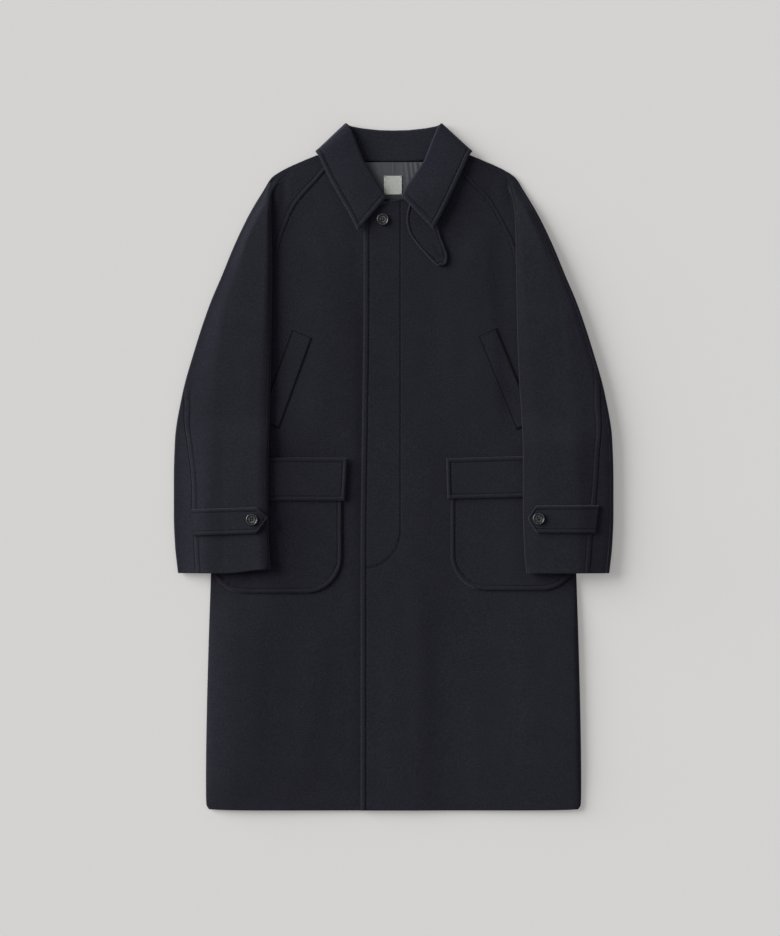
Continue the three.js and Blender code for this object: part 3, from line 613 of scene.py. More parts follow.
# stitches along the paths: each is a small spindle, its rings on a half sine so that both ends dip
def makeStitches():
    allPoints, allFaces, start = [], [], 0
    t = np.linspace(0, 1, sewing["rings"])
    arch = np.sin(np.pi * (sewing["arch"][0] + sewing["arch"][1] * t))
    radius = sewing["radius"] * arch ** 0.5
    angle = np.arange(sewing["sides"]) * 2 * np.pi / sewing["sides"]
    for path, sink in stitchPaths:
        step = np.linalg.norm(np.diff(path, axis=0), axis=1)
        run = np.concatenate([[0], np.cumsum(step)])
        if run[-1] < sewing["pitch"]:
            continue
        heads = np.arange(sewing["first"], run[-1] - sewing["length"], sewing["pitch"])
        at = heads[:, None] + t[None, :] * sewing["length"]
        middle = np.stack([np.interp(at, run, path[:, k]) for k in range(3)], axis=-1)
        way = unit(middle[:, -1] - middle[:, 0])
        aside = unit(np.cross(way, np.array([0.0, 0.0, 1.0])))
        lift = np.cross(aside, way)
        rise = arch * sewing["rise"] - sink - sewing["sunk"]
        middle = middle + lift[:, None, :] * rise[None, :, None]
        ring = (aside[:, None, None, :] * np.cos(angle)[None, None, :, None]
                + lift[:, None, None, :] * np.sin(angle)[None, None, :, None])
        points = middle[:, :, None, :] + ring * radius[None, :, None, None]
        ids = np.arange(points.size // 3).reshape(points.shape[:3]) + start
        allPoints.append(points.reshape(-1, 3))
        allFaces += [tubeFaces(ids)[:, ::-1], ids[:, 0, :], ids[:, -1, ::-1]]
        start += points.size // 3
    return makeObject("topstitching", np.concatenate(allPoints), np.concatenate(allFaces), thread)


# The fronts' rows, from the neck to the hem: closest where the neck, the armpit and the hem turn.
frontRows = {"neck": (516, 452, 26), "neckEdge": 450.6, "chest": 34, "hem": [-565, -568, -570.3, -572.2],
             "below": ((298, -93, -5.0), (-94, -181, -2.0), (-185, -562, -5.0))}


# even steps in each part
def bodyRows():
    upper = np.concatenate([np.linspace(*frontRows["neck"]), [frontRows["neckEdge"], body["frontNeck"]]])
    chest = np.linspace(body["frontNeck"], body["armpit"], frontRows["chest"])[1:]
    lower = np.concatenate([np.arange(*part) for part in frontRows["below"]])
    return np.concatenate([upper, chest, lower, frontRows["hem"], [body["hem"]]])


# the hem curves up a little at its corners: a tenth power across
def hemRise(x, y):
    at = rises["hem"]
    return at["high"] * (np.abs(x) / at["half"]) ** at["power"] * ramp(y, at["top"], body["hem"])


# the outer edge: the raglan seam above the armpit, the side below
def frontOuter(side, y):
    seam = column(body["raglan"][side], y) + frontSeam["over"]
    return np.where(y >= body["armpit"], seam, column(body["side"], y))


# the inner edge: the neck seam, then the underlap on the left or the slanting front edge on the right
def frontInner(side, y):
    neck = signOf(side) * (column(body["neck"], y + frontSeam["neckDrop"]) + cloth["seam"])
    slanted = body["frontEdge"] - fly["slack"] * ramp(y, *fly["slant"])
    edge = body["underlap"] if side == "left" else slanted
    return np.where(y > body["frontNeck"], neck, edge)


sideColumns = np.array([14, 10, 7.5, 5.5, 4, 3, 2, 1, 0]) / 300
fly = {"edgeStitch": 9.0, "x": 11.4, "lineTop": 448.0, "straightEnd": -104.0, "meet": -166.0,
       "near": [0, 1.2, 2.6, 4.2, 6, 7.2, 8, 8.5, 9, 9.5, 10, 10.8, 12, 14],
       "far": [62.8, 63.8, 64.6, 65.3, 66], "wide": 66.0, "tack": (-55.5, -46.5, -168.3), "top": 444,
       "start": (462, 452), "plump": 0.6, "line": (0.75, 0.9), "curve": (0.9, 1.5), "slack": 5,
       "pastX": [0.0023, 0.005, 0.009, 0.016], "drop": 8.5, "dropX": (-12, -6), "slant": (300, -150),
       "around": 4, "curvePast": (5, 6), "sunk": 0.35, "tackHigh": 0.3, "tackRows": (-0.8, 0, 0.8),
       "neckShare": 0.2, "evenNear": 25, "evenFar": (0.03, 0.94, 50)}
leftColumns = (0, 0.945, 60)
frontSeam = {"over": 0.1, "shade": 0.8, "wide": 1.4, "neckDrop": 0.8}


# the fly stitching: a straight line, then a quarter ellipse that meets the edge stitching
def flyPath():
    edgeX = body["frontEdge"] - fly["slack"] + fly["edgeStitch"]
    straight = np.linspace(fly["lineTop"], fly["straightEnd"], 220)
    angle = np.linspace(0, np.pi / 2, 60)
    curveX = edgeX + (fly["x"] - edgeX) * np.cos(angle)
    curveY = fly["straightEnd"] + (fly["meet"] - fly["straightEnd"]) * np.sin(angle)
    x = np.concatenate([np.full(len(straight), fly["x"]), curveX])
    return x, np.concatenate([straight, curveY])


# distance to the nearest of every other point of a path
def pathDistance(x, y, pathX, pathY):
    best = np.full(x.shape, 1e9)
    for px, py in zip(pathX[::2], pathY[::2]):
        best = np.minimum(best, (x - px) ** 2 + (y - py) ** 2)
    return np.sqrt(best)


# columns from the inner to the outer edge; on the right they gather round both lines of stitching
def frontColumns(side, rows, inner, outer):
    if side == "left":
        return mix(inner, outer, np.concatenate([np.linspace(*leftColumns), 1 - sideColumns])[None, :])
    flyX = np.where(rows > body["frontNeck"], mix(inner, outer, fly["neckShare"]), fly["x"])
    between = np.linspace(fly["near"][-1], fly["far"][0], fly["evenNear"])[1:-1]
    first = np.concatenate([fly["near"], between, fly["far"]]) / fly["wide"]
    second = np.concatenate([fly["pastX"], np.linspace(*fly["evenFar"]), 1 - sideColumns])
    return np.concatenate([mix(inner, flyX, first[None, :]), mix(flyX, outer, second[None, :])], axis=1)


# relief of the right front: its stitched edge, and grooves along the fly stitching and its curve
def flyRelief(x, y, rows, inner):
    below = ramp(rows, *fly["start"])
    edge = below * stitchedEdge(x - inner, fly["edgeStitch"], fly["plump"])
    fromLine = np.abs(x - fly["x"])
    near = (fromLine < fly["around"]) & (rows > fly["straightEnd"])
    line = near * groove(fromLine, 0, *fly["line"]) * below
    pastX, pastY = fly["curvePast"]
    curve = (rows < fly["straightEnd"] + 1) & (rows > fly["meet"] - pastY) & (x < fly["x"] + pastX)
    pathX, pathY = flyPath()
    fromCurve = pathDistance(x, y, pathX[-70:], pathY[-70:])
    return edge + line + curve * groove(fromCurve, 0, *fly["curve"])


# the edge stitching, the fly stitching, and the tack of three rows at its foot
def sewFly(upper):
    sew(upper[:, fly["near"].index(fly["edgeStitch"])])
    x, y = flyPath()
    sew(np.stack([x, y, frontTop("right", x, y) - fly["sunk"]], axis=-1))
    first, last, tackY = fly["tack"]
    x = np.linspace(first, last, 6)
    for shift in fly["tackRows"]:
        y = np.full(6, tackY + shift)
        sew(np.stack([x, y, frontTop("right", x, y) + fly["tackHigh"]], axis=-1))


# a front panel: rows from the neck to the hem, columns from the front edge or neck seam to the side
def makeFront(side):
    rows = bodyRows()[:, None]
    inner = frontInner(side, rows)
    outer = signOf(side) * frontOuter(side, rows)
    x = frontColumns(side, rows, inner, outer)
    y = rows + hemRise(x, rows)
    relief = 0.0
    if side == "right":
        y = y - (rows == body["frontNeck"]) * fly["drop"] * (1 - ramp(x, *fly["dropX"]))
        relief = flyRelief(x, y, rows, inner)
    grid = np.stack([x, y, frontTop(side, x, rows) - cloth["wall"] / 2], axis=-1)
    fromOuter = (outer - x) * signOf(side)
    seamShade = frontSeam["shade"] * np.exp(-(fromOuter / frontSeam["wide"]) ** 2) * (rows > body["armpit"])
    piece, upper = makeWall(f"front_{side}Cloth", grid, cloth["wall"], (80, 30), relief,
                            paintedShade=seamShade)
    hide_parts(f"front_{side}")
    if side == "right":
        sewFly(upper[rows[:, 0] < fly["top"]])


back = {"upper": (511, 302, 50), "lower": (299, -560, 130), "top": 519, "hem": [-566, -570.3], "columns": 61,
        "dip": 6.4, "dipX": (45, 90), "flat": (628, 1087), "area": 609900, "on": ["floor"]}


# the back panel, one width from side to side, its neck edge curved down in the middle
def makeBack():
    upper = np.concatenate([[back["top"]], np.linspace(*back["upper"])])
    lower = np.concatenate([np.linspace(*back["lower"]), back["hem"], [body["hem"]]])
    rows = np.concatenate([upper, lower])[:, None]
    rear = column(body["rear"], rows) - cloth["seam"]
    outer = np.where(rows > body["armpit"], rear, column(body["side"], rows))
    x = outer * np.linspace(-1, 1, back["columns"])[None, :]
    dip = (rows > body["backNeck"]) * back["dip"] * (1 - ramp(np.abs(x), *back["dipX"]))
    grid = np.stack([x, rows - dip + hemRise(x, rows), cloth["wall"] / 2 + neckLift(x, rows)], axis=-1)
    piece, upper = makeWall("backCloth", grid, cloth["wall"], (80, 30))
    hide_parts("back")


for side in ("left", "right"):
    makeFront(side)
makeBack()
print("body panels made")

# sleeves: one tube a side. Columns run from the front raglan seam under the body fold and back, over
# the top, round the outer edge and along the underside to the back raglan seam.
sleeveRows = np.concatenate([
    np.linspace(523, 302, 86), np.linspace(299, -165, 124), [-168, -170.5, -172.6, -174.4, body["cuff"]]])
seamBand = {"shade": 0.8, "raglan": 7.3, "raglanPlump": 0.7, "overarm": 8.4, "overarmPlump": 0.65,
            "fromSeam": [0, 0.9, 2.0, 3.4, 4.8, 5.8, 6.5, 7.0, 7.3, 7.6, 8.1, 9.0, 10.5],
            "toOverarm": [-12, -10.4, -9.4, -8.8, -8.4, -8.0, -7.4, -6.2, -4.6, -3, -1.7, -0.9, -0.4, 0],
            "pastOverarm": [0.4, 0.9, 1.7, 3.0], "shadeWide": 1.2, "raglanFrom": (318, 330),
            "widen": 1.6, "widenY": (55, 110), "shown": (-1.0, 4.0), "cuffHigh": 0.4, "cuffWide": 7,
            "raglanSewn": (334, 506), "overarmSewn": (-172, 56)}
# How the tube shuts flat at the shoulder, and how many columns each part of it has.
tube = {"over": 0.2, "shutWidth": 14, "shutCrease": 5, "shutInner": 0.4, "shutTurn": 0.3, "hoverRun": 45,
        "low": 12, "crease": 9, "middle": 12, "fold": 13, "top": 34, "past": 9, "outer": 13, "under": 24,
        "pastOuter": 5, "foldShade": 8.0}
sleeveEnds = {"headDip": 5, "headY": (509, 520), "headX": (97, 108), "headPast": (112, 121),
              "cuffRise": 7, "cuffX": (207, 285), "cuffTop": -60}
shoulderFolds = {
    "left": [{"a": (-183, 486), "b": (-184, 436), "wide": 5.5, "high": -1.0},
             {"a": (-194, 482), "b": (-195, 440), "wide": 4.5, "high": 0.7}],
    "right": [{"a": (190, 484), "b": (198, 440), "wide": 4.0, "high": -1.1},
              {"a": (176, 478), "b": (182, 436), "wide": 7.0, "high": 0.5}],
}


# the sleeve's head is cut lower where it runs in under the collar: smooth steps up and across
def headDip(x, y):
    across = ramp(x, *sleeveEnds["headX"]) * (1 - ramp(x, *sleeveEnds["headPast"]))
    return sleeveEnds["headDip"] * ramp(y, *sleeveEnds["headY"]) * across


# the left cuff's inner corner lies a little nearer the collar than the rest of its edge
def cuffRise(side, x, y):
    inner = 1 - ramp(x, *sleeveEnds["cuffX"])
    return sleeveEnds["cuffRise"] * inner * ramp(y, sleeveEnds["cuffTop"], body["cuff"]) * (side == "left")


# half an ellipse that joins a run at one height to a run at another
def turnOver(centerX, radius, zFrom, zTo, angles):
    turn = np.radians(angles)[None, :]
    return centerX + radius * np.cos(turn), mix((zFrom + zTo) / 2, zTo, np.sin(turn) * np.sign(angles[-1]))


# columns at set distances from a seam, squeezed where the run is short, then even ones to its end
def runFrom(start, end, distances, slant, count):
    distances = np.array(distances, float)[None, :] / slant
    squeeze = np.minimum(1, 0.6 * (end - start) / distances[:, -1:])
    dense = start + distances * squeeze
    even = mix(dense[:, -1:], end, np.linspace(0, 1, count + 1)[None, 1:])
    return np.concatenate([dense, even], axis=1)


# the tube's middle points: at each row the runs and turns of its section, joined end to end
def sleeveGrid(side):
    y = sleeveRows[:, None]
    row = sleeveAt(side, y)
    sign = signOf(side)
    above = y > body["armpit"] - 1
    opened = row["slack"]
    slope = np.gradient(row["seam"][:, 0], sleeveRows)[:, None]
    slant = 1 / np.sqrt(1 + slope ** 2)
    foldFlat = np.minimum(row["fold"], row["outside"] - tube["shutWidth"])
    innerReach = row["innerRadius"] * mix(tube["shutInner"], 1.0, opened)
    inside = mix(foldFlat, row["inside"], opened)
    creaseX = mix(foldFlat - tube["shutCrease"], row["crease"], opened)
    creaseX = np.where(above, creaseX, row["under"] - cloth["seam"])

    def lowAt(x):
        bumps = sum(bell(one, sign * x, y) for one in shoulderFolds[side])
        return frontTop(side, sign * x, y) - cloth["wall"] / 2 + bumps

    def underAt(x):
        return np.where(above, mix(lowAt(x), sleeveUnderMid(row, x), opened), sleeveUnderMid(row, x))

    def topAt(x):
        return mix(lowAt(x), sleeveTopMid(row, x), opened)

    def bottomAt(x):
        hover = hoverOf(row) * ramp(x, row["outside"] - tube["hoverRun"], row["outside"])
        return np.where(above, cloth["wall"] / 2 + neckLift(x, y) + hover, sleeveUnderMid(row, x))

    lowX = runFrom(row["seam"] - tube["over"], creaseX - 0.4, seamBand["fromSeam"], slant, tube["low"])
    lowX = np.where(above, lowX, creaseX - np.linspace(3, 0.1, lowX.shape[1])[None, :])
    reach = (layer / 2) * mix(tube["shutTurn"], 1.0, opened)
    creaseArc = turnOver(creaseX, reach, lowAt(creaseX), underAt(creaseX),
                         np.linspace(-84, 90, tube["crease"]))
    middleX = mix(creaseX, inside, np.linspace(0, 1, tube["middle"])[None, 1:-1])
    foldArc = turnOver(inside, -innerReach, underAt(inside), topAt(inside),
                       np.linspace(-90, 90, tube["fold"]))
    seamX = np.clip(row["over"], inside + 3, row["outside"] - 1.5)
    backward = [-d for d in seamBand["toOverarm"][::-1]]
    toSeam = -runFrom(-seamX, -inside - 0.2, backward, 1.0, tube["top"])[:, ::-1]
    pastSeam = runFrom(seamX, row["outside"] - 0.1, seamBand["pastOverarm"], 1.0, tube["past"])
    topX = np.concatenate([toSeam, pastSeam], axis=1)
    outerArc = turnOver(row["outside"], row["outerRadius"], topAt(row["outside"]),
                        bottomAt(row["outside"]), np.linspace(90, -90, tube["outer"]))
    end = np.where(above, row["rear"], row["under"]) + cloth["seam"]
    bottomX = mix(row["outside"], end, np.linspace(0, 1, tube["under"])[None, 1:])
    x = np.concatenate([lowX, creaseArc[0], middleX, foldArc[0], topX, outerArc[0], bottomX], axis=1)
    z = np.concatenate([lowAt(lowX), creaseArc[1], underAt(middleX), foldArc[1], topAt(topX), outerArc[1],
                        bottomAt(bottomX)], axis=1)
    place = {"low": lowX.shape[1], "crease": lowX.shape[1] + tube["crease"] - 1}
    place["top"] = place["crease"] + 1 + middleX.shape[1] + tube["fold"]
    place["outer"] = place["top"] + topX.shape[1]
    placeY = y - headDip(x, y) + cuffRise(side, x, y)
    return row, x, np.stack([sign * x, placeY, z], axis=-1), place, slant


# relief of the overarm seam: half a sine makes the band inside it plump, with a groove on both sides
def overarmRelief(row, x, y):
    toOver = row["over"] - x
    band = seamBand["overarm"] + seamBand["widen"] * ramp(y, *seamBand["widenY"])
    ridge = seamBand["overarmPlump"] * np.sin(np.pi * np.clip(toOver / band, 0, 1)) ** 0.7
    shown = ramp(row["outer"] - row["over"], *seamBand["shown"])
    return shown * (ridge + groove(toOver, band, 0.3, 0.8) + groove(toOver, 0, 0.55, 0.7))


# the rows that a seam's stitches show in
def sewnRows(name):
    lowest, highest = seamBand[name]
    return (sleeveRows > lowest) & (sleeveRows < highest)


# the sleeve with both its seams: plump bands beside them, grooves, and shade along the body fold
def makeSleeve(side):
    row, x, grid, place, slant = sleeveGrid(side)
    y = sleeveRows[:, None]
    columns = np.arange(x.shape[1])[None, :]
    keep = np.ones((grid.shape[0] - 1, grid.shape[1] - 1), dtype=bool)
    keep[sleeveRows[1:] < body["armpit"] - 1, :place["crease"]] = False
    fromSeam = (x - row["seam"]) * slant
    onLow = (columns < place["low"]) & (y > body["armpit"])
    onTop = (columns >= place["top"]) & (columns < place["outer"] + tube["pastOuter"])
    raglan = stitchedEdge(fromSeam, seamBand["raglan"], seamBand["raglanPlump"], 0.4)
    relief = onLow * ramp(y, *seamBand["raglanFrom"]) * raglan + onTop * overarmRelief(row, x, y)
    cuffEdge = np.exp(-((y - body["cuff"]) / seamBand["cuffWide"]) ** 2)
    relief = relief + onTop * seamBand["cuffHigh"] * cuffEdge
    fromFold = (columns - place["top"] + tube["fold"] // 2) / tube["foldShade"]
    paintedShade = sleeve[side]["foldShade"] * np.exp(-fromFold ** 2) + 0 * y
    seamShade = seamBand["shade"] * np.exp(-(fromSeam / seamBand["shadeWide"]) ** 2)
    paintedShade = np.maximum(paintedShade, onLow * seamShade)
    piece, upper = makeWall(f"sleeve_{side}Cloth", grid, cloth["wall"],
                            (120, place["top"] + 20), relief, keep, paintedShade)
    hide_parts(f"sleeve_front_{side}", f"sleeve_back_{side}")
    sew(upper[sewnRows("raglanSewn"), seamBand["fromSeam"].index(seamBand["raglan"])])
    lineColumn = place["top"] + tube["top"] + seamBand["toOverarm"].index(-seamBand["overarm"])
    sew(upper[sewnRows("overarmSewn"), lineColumn])


for side in ("left", "right"):
    makeSleeve(side)
print("sleeves made")

# Collar: stations from the left tip round the back to the right tip. Turn is how far round the
# section has turned there, in degrees, and steps are the rows between two stations.
collarTable = {
    "roll": [(-11, 453), (-17, 461), (-33, 487), (-50, 515), (-61, 542), (-69, 564), (-72, 571.8),
             (-72.8, 573), (-71.5, 572), (-68, 571.5), (-52, 569), (-26, 566.2), (0, 565.5), (26, 566.2),
             (52, 569), (68, 571.5), (72.5, 572), (74, 573), (73, 571.8), (70, 563), (62, 542),
             (51.5, 515), (37, 494), (22, 472), (13, 455)],
    "seam": [(-16, 447.5), (-26, 453), (-50, 475), (-72, 499), (-79, 513), (-82, 521), (-83, 524),
             (-83, 524.5), (-82, 524), (-76, 519.5), (-58, 515), (-28, 513.5), (0, 513.5), (28, 513.5),
             (58, 515), (76, 519.5), (82, 524), (83, 524.5), (83, 524), (82, 521), (79, 513), (73, 500),
             (54, 480), (34, 461), (18, 447)],
    "edge": [(-60, 396.5), (-70.5, 418), (-89.5, 452), (-108, 485), (-118.5, 507), (-124, 520),
             (-126, 524), (-126.2, 524.4), (-125, 523), (-121, 519), (-82, 500), (-42, 491), (0, 488),
             (42, 491), (82, 500), (121, 519), (126, 523.5), (127.6, 525), (127, 524), (125, 520),
             (120, 507), (110, 485), (94.5, 452), (79, 421), (66.5, 399.5)],
    "turn": [0, 0, 0, 0, 0, 12, 45, 90, 135, 172, 180, 180, 180, 180, 180, 172, 135, 90, 45, 12,
             0, 0, 0, 0, 0],
    "steps": [10, 13, 10, 8, 8, 7, 7, 7, 6, 8, 8, 8, 8, 8, 8, 6, 7, 7, 7, 8, 8, 8, 13, 10],
    "rollRadius": 1.75, "stitch": 8.0, "lift": 2.2, "bow": 1.0, "lapX": (-150, -60), "tabShare": 0.9,
    "clear": 1, "stand": (0, 0.08, 0.2, 0.35, 0.5, 0.65, 0.8, 0.92), "endFrom": 7, "endReach": 90,
    "endTop": 500, "tabX": (-10, 20), "tabPast": (82, 125), "tabY": (446, 490),
    "fromEdge": [12, 10.6, 9.6, 9.0, 8.5, 8, 7.5, 7.0, 6.0, 4.4, 2.6, 1.1, 0],
    "cut": {"flat": (900, 148), "area": 51100, "on": ["front_rightCloth", "throat_tabCloth"]},
}


# the middle of the leaf's cloth where it lies on the fronts, the lap and the throat tab
def leafMid(x, y):
    overlap = layer * (ramp(x, *collarTable["lapX"]) - ramp(x, *rises["lap"]))
    inTab = ramp(x, *collarTable["tabX"]) * (1 - ramp(x, *collarTable["tabPast"]))
    inTab = inTab * (1 - ramp(y, *collarTable["tabY"]))
    tab = (cloth["collar"] + cloth["air"]) * inTab * collarTable["tabShare"]
    ground = 2 * layer + cloth["lining"] + cloth["air"] + collarTable["clear"] + cloth["collar"] / 2
    return ground + neckLift(x, y) + overlap + tab + loft(x, y)


# how far the leaf springs up: a bow between roll and edge, and a slope that lifts its edge
def leafSpring(t):
    return collarTable["bow"] * np.sin(np.pi * t) + collarTable["lift"] * t ** 1.5


# between two stations each value runs straight
def collarStations():
    steps = collarTable["steps"]
    place = np.concatenate([k + np.arange(n) / n for k, n in enumerate(steps)] + [[len(steps)]])
    known = np.arange(len(steps) + 1)

    def spreadOut(values):
        return np.interp(place, known, values)

    flat = {name: np.stack([spreadOut([p[k] for p in collarTable[name]]) for k in (0, 1)], axis=-1)
            for name in ("roll", "seam", "edge")}
    return flat, np.radians(spreadOut(collarTable["turn"]))


# the unit vector across the leaf's front end
def acrossEnd(a, b):
    return np.array([-(b - a)[1], (b - a)[0]]) / np.linalg.norm(b - a)


# the leaf's stitching: along its edge on both sides, and up both front ends
def sewCollar(upper, forward, center, edge):
    stitchColumn = collarTable["fromEdge"].index(collarTable["stitch"]) - len(collarTable["fromEdge"])
    half = len(forward) // 2
    sew(upper[:half][forward[:half], stitchColumn][4:])
    sew(upper[half:][forward[half:], stitchColumn][:-4])
    t = np.linspace(0.1, 0.9, 40)[:, None]
    for end, way in ((0, -1), (-1, 1)):
        across = acrossEnd(center[end], edge[end])
        across = across * np.sign(across[0] * way)
        line = mix(center[end], edge[end], t) + across * collarTable["stitch"]
        height = leafMid(line[:, :1], line[:, 1:]) + cloth["collar"] / 2 - 0.35 + leafSpring(t)
        sew(np.concatenate([line, height], axis=1))


# the collar's section at each station, from the neck seam up the stand, round the roll and down the
# leaf. The cosine of its turn leads from the leaf lying in front to the collar standing at the back.
def makeCollar():
    flat, turn = collarStations()
    r = collarTable["rollRadius"]
    wall = cloth["collar"]
    side = np.where(flat["edge"][:, :1] < 0, -1.0, 1.0)
    upward = unit(flat["roll"] - flat["edge"])
    center = flat["roll"] - upward * (r + wall / 2)

    def outwardOf(a, b):
        along = unit(b - a)
        out = np.stack([-along[:, 1], along[:, 0]], axis=-1)
        return out * np.where(out[:, :1] * side < 0, -1.0, 1.0)

    standOut = outwardOf(flat["seam"], center)
    leafOut = outwardOf(center, flat["edge"])
    backCore = wall / 2 + r
    sine, cosine = np.sin(turn)[:, None], np.cos(turn)[:, None]

    def placeAt(at, out, offset):
        frontCore = leafMid(at[:, :1], at[:, 1:]) - r
        reach = sine * ((frontCore - backCore) / 2 + offset)
        height = mix(backCore, frontCore, (1 + cosine) / 2) + cosine * offset
        return np.concatenate([at + out * reach, height], axis=1)

    columns = []
    for t in collarTable["stand"]:
        columns.append(placeAt(mix(flat["seam"], center, t), standOut, -r))
    for degrees in np.linspace(-90, 90, 11):
        angle = np.radians(degrees)
        out = unit(mix(standOut, leafOut, (degrees + 90) / 180))
        columns.append(placeAt(center + upward * r * np.cos(angle), out, r * np.sin(angle)))
    first = len(columns)
    length = np.linalg.norm(flat["edge"] - center, axis=1, keepdims=True)
    fromEdge = np.array(collarTable["fromEdge"])[None, :]
    leafT = np.concatenate([(1 - fromEdge[:, :1] / length) * np.linspace(0, 1, 19)[None, 1:-1],
                            1 - fromEdge / length], axis=1)
    for k in range(leafT.shape[1]):
        columns.append(placeAt(mix(center, flat["edge"], leafT[:, k:k + 1]), leafOut, r))
    grid = np.stack(columns, axis=1)
    grid[:, first:, 2] += leafSpring(leafT) * np.clip(cosine, 0, 1)
    distance = np.full(grid.shape[:2], 99.0)
    distance[:, first:] = (1 - leafT) * length
    relief = stitchedEdge(distance, collarTable["stitch"], 0.6)
    leafy = np.arange(grid.shape[1]) >= first
    for end in (0, -1):
        a = flat["roll"][end]
        away = np.abs((grid[..., :2] - a) @ acrossEnd(a, flat["edge"][end]))
        near = leafy & (distance > collarTable["endFrom"]) & (grid[..., 1] < collarTable["endTop"])
        near = near & (np.abs(grid[..., 0] - a[0]) < collarTable["endReach"])
        relief = relief + near * stitchedEdge(away, collarTable["stitch"], 0.6, 0.5, 1.2)
    relief = np.clip(relief, -0.6, 0.6) * np.clip(cosine + 0.4, 0, 1)
    piece, upper = makeWall("collarCloth", grid, wall, (3, -8), relief,
                            material=paintedLightCollarNavy)
    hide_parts("collar")
    sewCollar(upper, cosine[:, 0] > 0.9, center, flat["edge"])


makeCollar()
print("collar made")


# a panel on a front: straight lines between four corners, stitched along chosen edges and darkened by painted
# shade along chosen edges
def panelOn(node, side, panel, wall, above):
    first, last = panel["corners"][:2], panel["corners"][2:]
    length = np.linalg.norm(np.subtract(first[1], first[0]))
    depth = np.linalg.norm(np.subtract(last[0], first[0]))
    u = spread(length, panel["counts"][1])[None, :]
    v = spread(depth, panel["counts"][0])[:, None]
    corner = [np.array(p, float) for p in (*first, *last)]
    x, y = [mix(mix(corner[0][k], corner[1][k], u), mix(corner[2][k], corner[3][k], u), v) for k in (0, 1)]
    grid = np.stack([x, y, frontTop(side, x, y) + above + wall / 2], axis=-1)
    distances = {"inner": u * length + 0 * v, "outer": (1 - u) * length + 0 * v,
                 "top": v * depth + 0 * u, "bottom": (1 - v) * depth + 0 * u}
    relief = np.zeros(x.shape)
    if panel["stitched"]:
        nearest = np.minimum.reduce([distances[edge] for edge in panel["stitched"]])
        relief = stitchedEdge(nearest, panel["stitch"], 0.8)
    # painted shade along the chosen edges, a flat-topped band of set strength and width
    shade = 0.0
    for edge, (strength, wide) in panel["dark"].items():
        shade = np.maximum(shade, strength * np.exp(-(distances[edge] / wide) ** 4))
    piece, upper = makeWall(f"{node}Cloth", grid, wall, (len(v) // 2, u.size // 2), relief,
                            paintedShade=shade, rimShade=panel.get("rim", rimTable["shade"]))
    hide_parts(node)
    return upper


# the welts' dark edges are painted shade, strength and width for each edge, where the welt meets the front
welts = {
    "both": {"counts": (50, 8), "stitched": (), "rim": 1.0, "over": 0.1},
    "left": {"corners": [(-137, 218), (-170, 232), (-192, 66), (-225, 80)],
             "dark": {"inner": (1.0, 2.3), "outer": (1.0, 3.2), "top": (1.0, 2.0), "bottom": (1.0, 2.6)},
             "flat": (36, 163), "area": 5790, "on": ["front_leftCloth"]},
    "right": {"corners": [(141, 221), (172, 235), (205, 64), (236, 78)],
              "dark": {"inner": (1.0, 2.7), "outer": (1.0, 3.2), "top": (1.0, 2.2), "bottom": (1.0, 2.6)},
              "flat": (34, 170), "area": 5780, "on": ["front_rightCloth"]},
}
# the flap's dark top edge is painted shade along its seam
flaps = {
    "both": {"counts": (16, 46), "stitched": ("inner", "bottom", "top"), "stitch": 7.0,
             "dark": {"top": (0.6, 1.0)}},
    "left": {"corners": [(-77, 17), (-302, 18), (-81, -55), (-302, -54)],
             "flat": (226, 73), "area": 16080, "on": ["patch_pocket_leftCloth"]},
    "right": {"corners": [(88, 16), (302, 22), (90, -52), (302, -47)],
              "flat": (214, 70), "area": 14650, "on": ["patch_pocket_rightCloth"]},
}
pockets = {
    "left": {"inner": 86, "outer": 309, "top": 8, "bottom": -209,
             "flat": (223, 217), "area": 45700, "on": ["front_leftCloth"]},
    "right": {"inner": 95.5, "outer": 307.5, "top": 8, "bottom": -204.5,
              "flat": (210, 213), "area": 42700, "on": ["front_rightCloth"]},
    "radius": 60.0, "stitch": 7.4, "fromSide": 0.5, "flapEdge": -58, "shade": 0.8,
}


# a pocket keeps a set distance from the coat's side
def sideLimit(y):
    return column(body["side"], y) - pockets["fromSide"]


# distance in from the pocket's edge: the nearest straight side, or the arc in a lower corner
def pocketDistance(size, across, y):
    r = pockets["radius"]
    low = y < size["bottom"] + r
    distance = np.minimum(across - size["inner"], np.minimum(size["outer"], sideLimit(y)) - across)
    distance = np.where(low, np.minimum(distance, y - size["bottom"]), distance)
    for cornerX, way in ((size["inner"] + r, -1), (size["outer"] - r, 1)):
        inCorner = low & ((across - cornerX) * way > 0)
        arc = r - np.hypot(across - cornerX, y - size["bottom"] - r)
        distance = np.where(inCorner, np.minimum(distance, arc), distance)
    return np.maximum(distance, 0)


# the stitching goes down one side, round both corners in quarter circles and up the other side
def sewPocket(side):
    size = pockets[side]
    r, s = pockets["radius"], pockets["stitch"]
    angle = np.linspace(0, np.pi / 2, 30)
    inX = size["inner"] + r - (r - s) * np.cos(angle)
    outX = size["outer"] - r + (r - s) * np.cos(angle[::-1])
    lowY = size["bottom"] + r - (r - s) * np.sin(angle)
    sideY = np.linspace(pockets["flapEdge"], size["bottom"] + r, 40)
    x = np.concatenate([np.full(40, size["inner"] + s), inX, outX, np.full(40, size["outer"] - s)])
    y = np.concatenate([sideY, lowY, lowY[::-1], sideY[::-1]])
    x = signOf(side) * np.minimum(x, sideLimit(y) - s)
    sew(np.stack([x, y, frontTop(side, x, y) + cloth["air"] + cloth["pocket"] - 0.4], axis=-1))


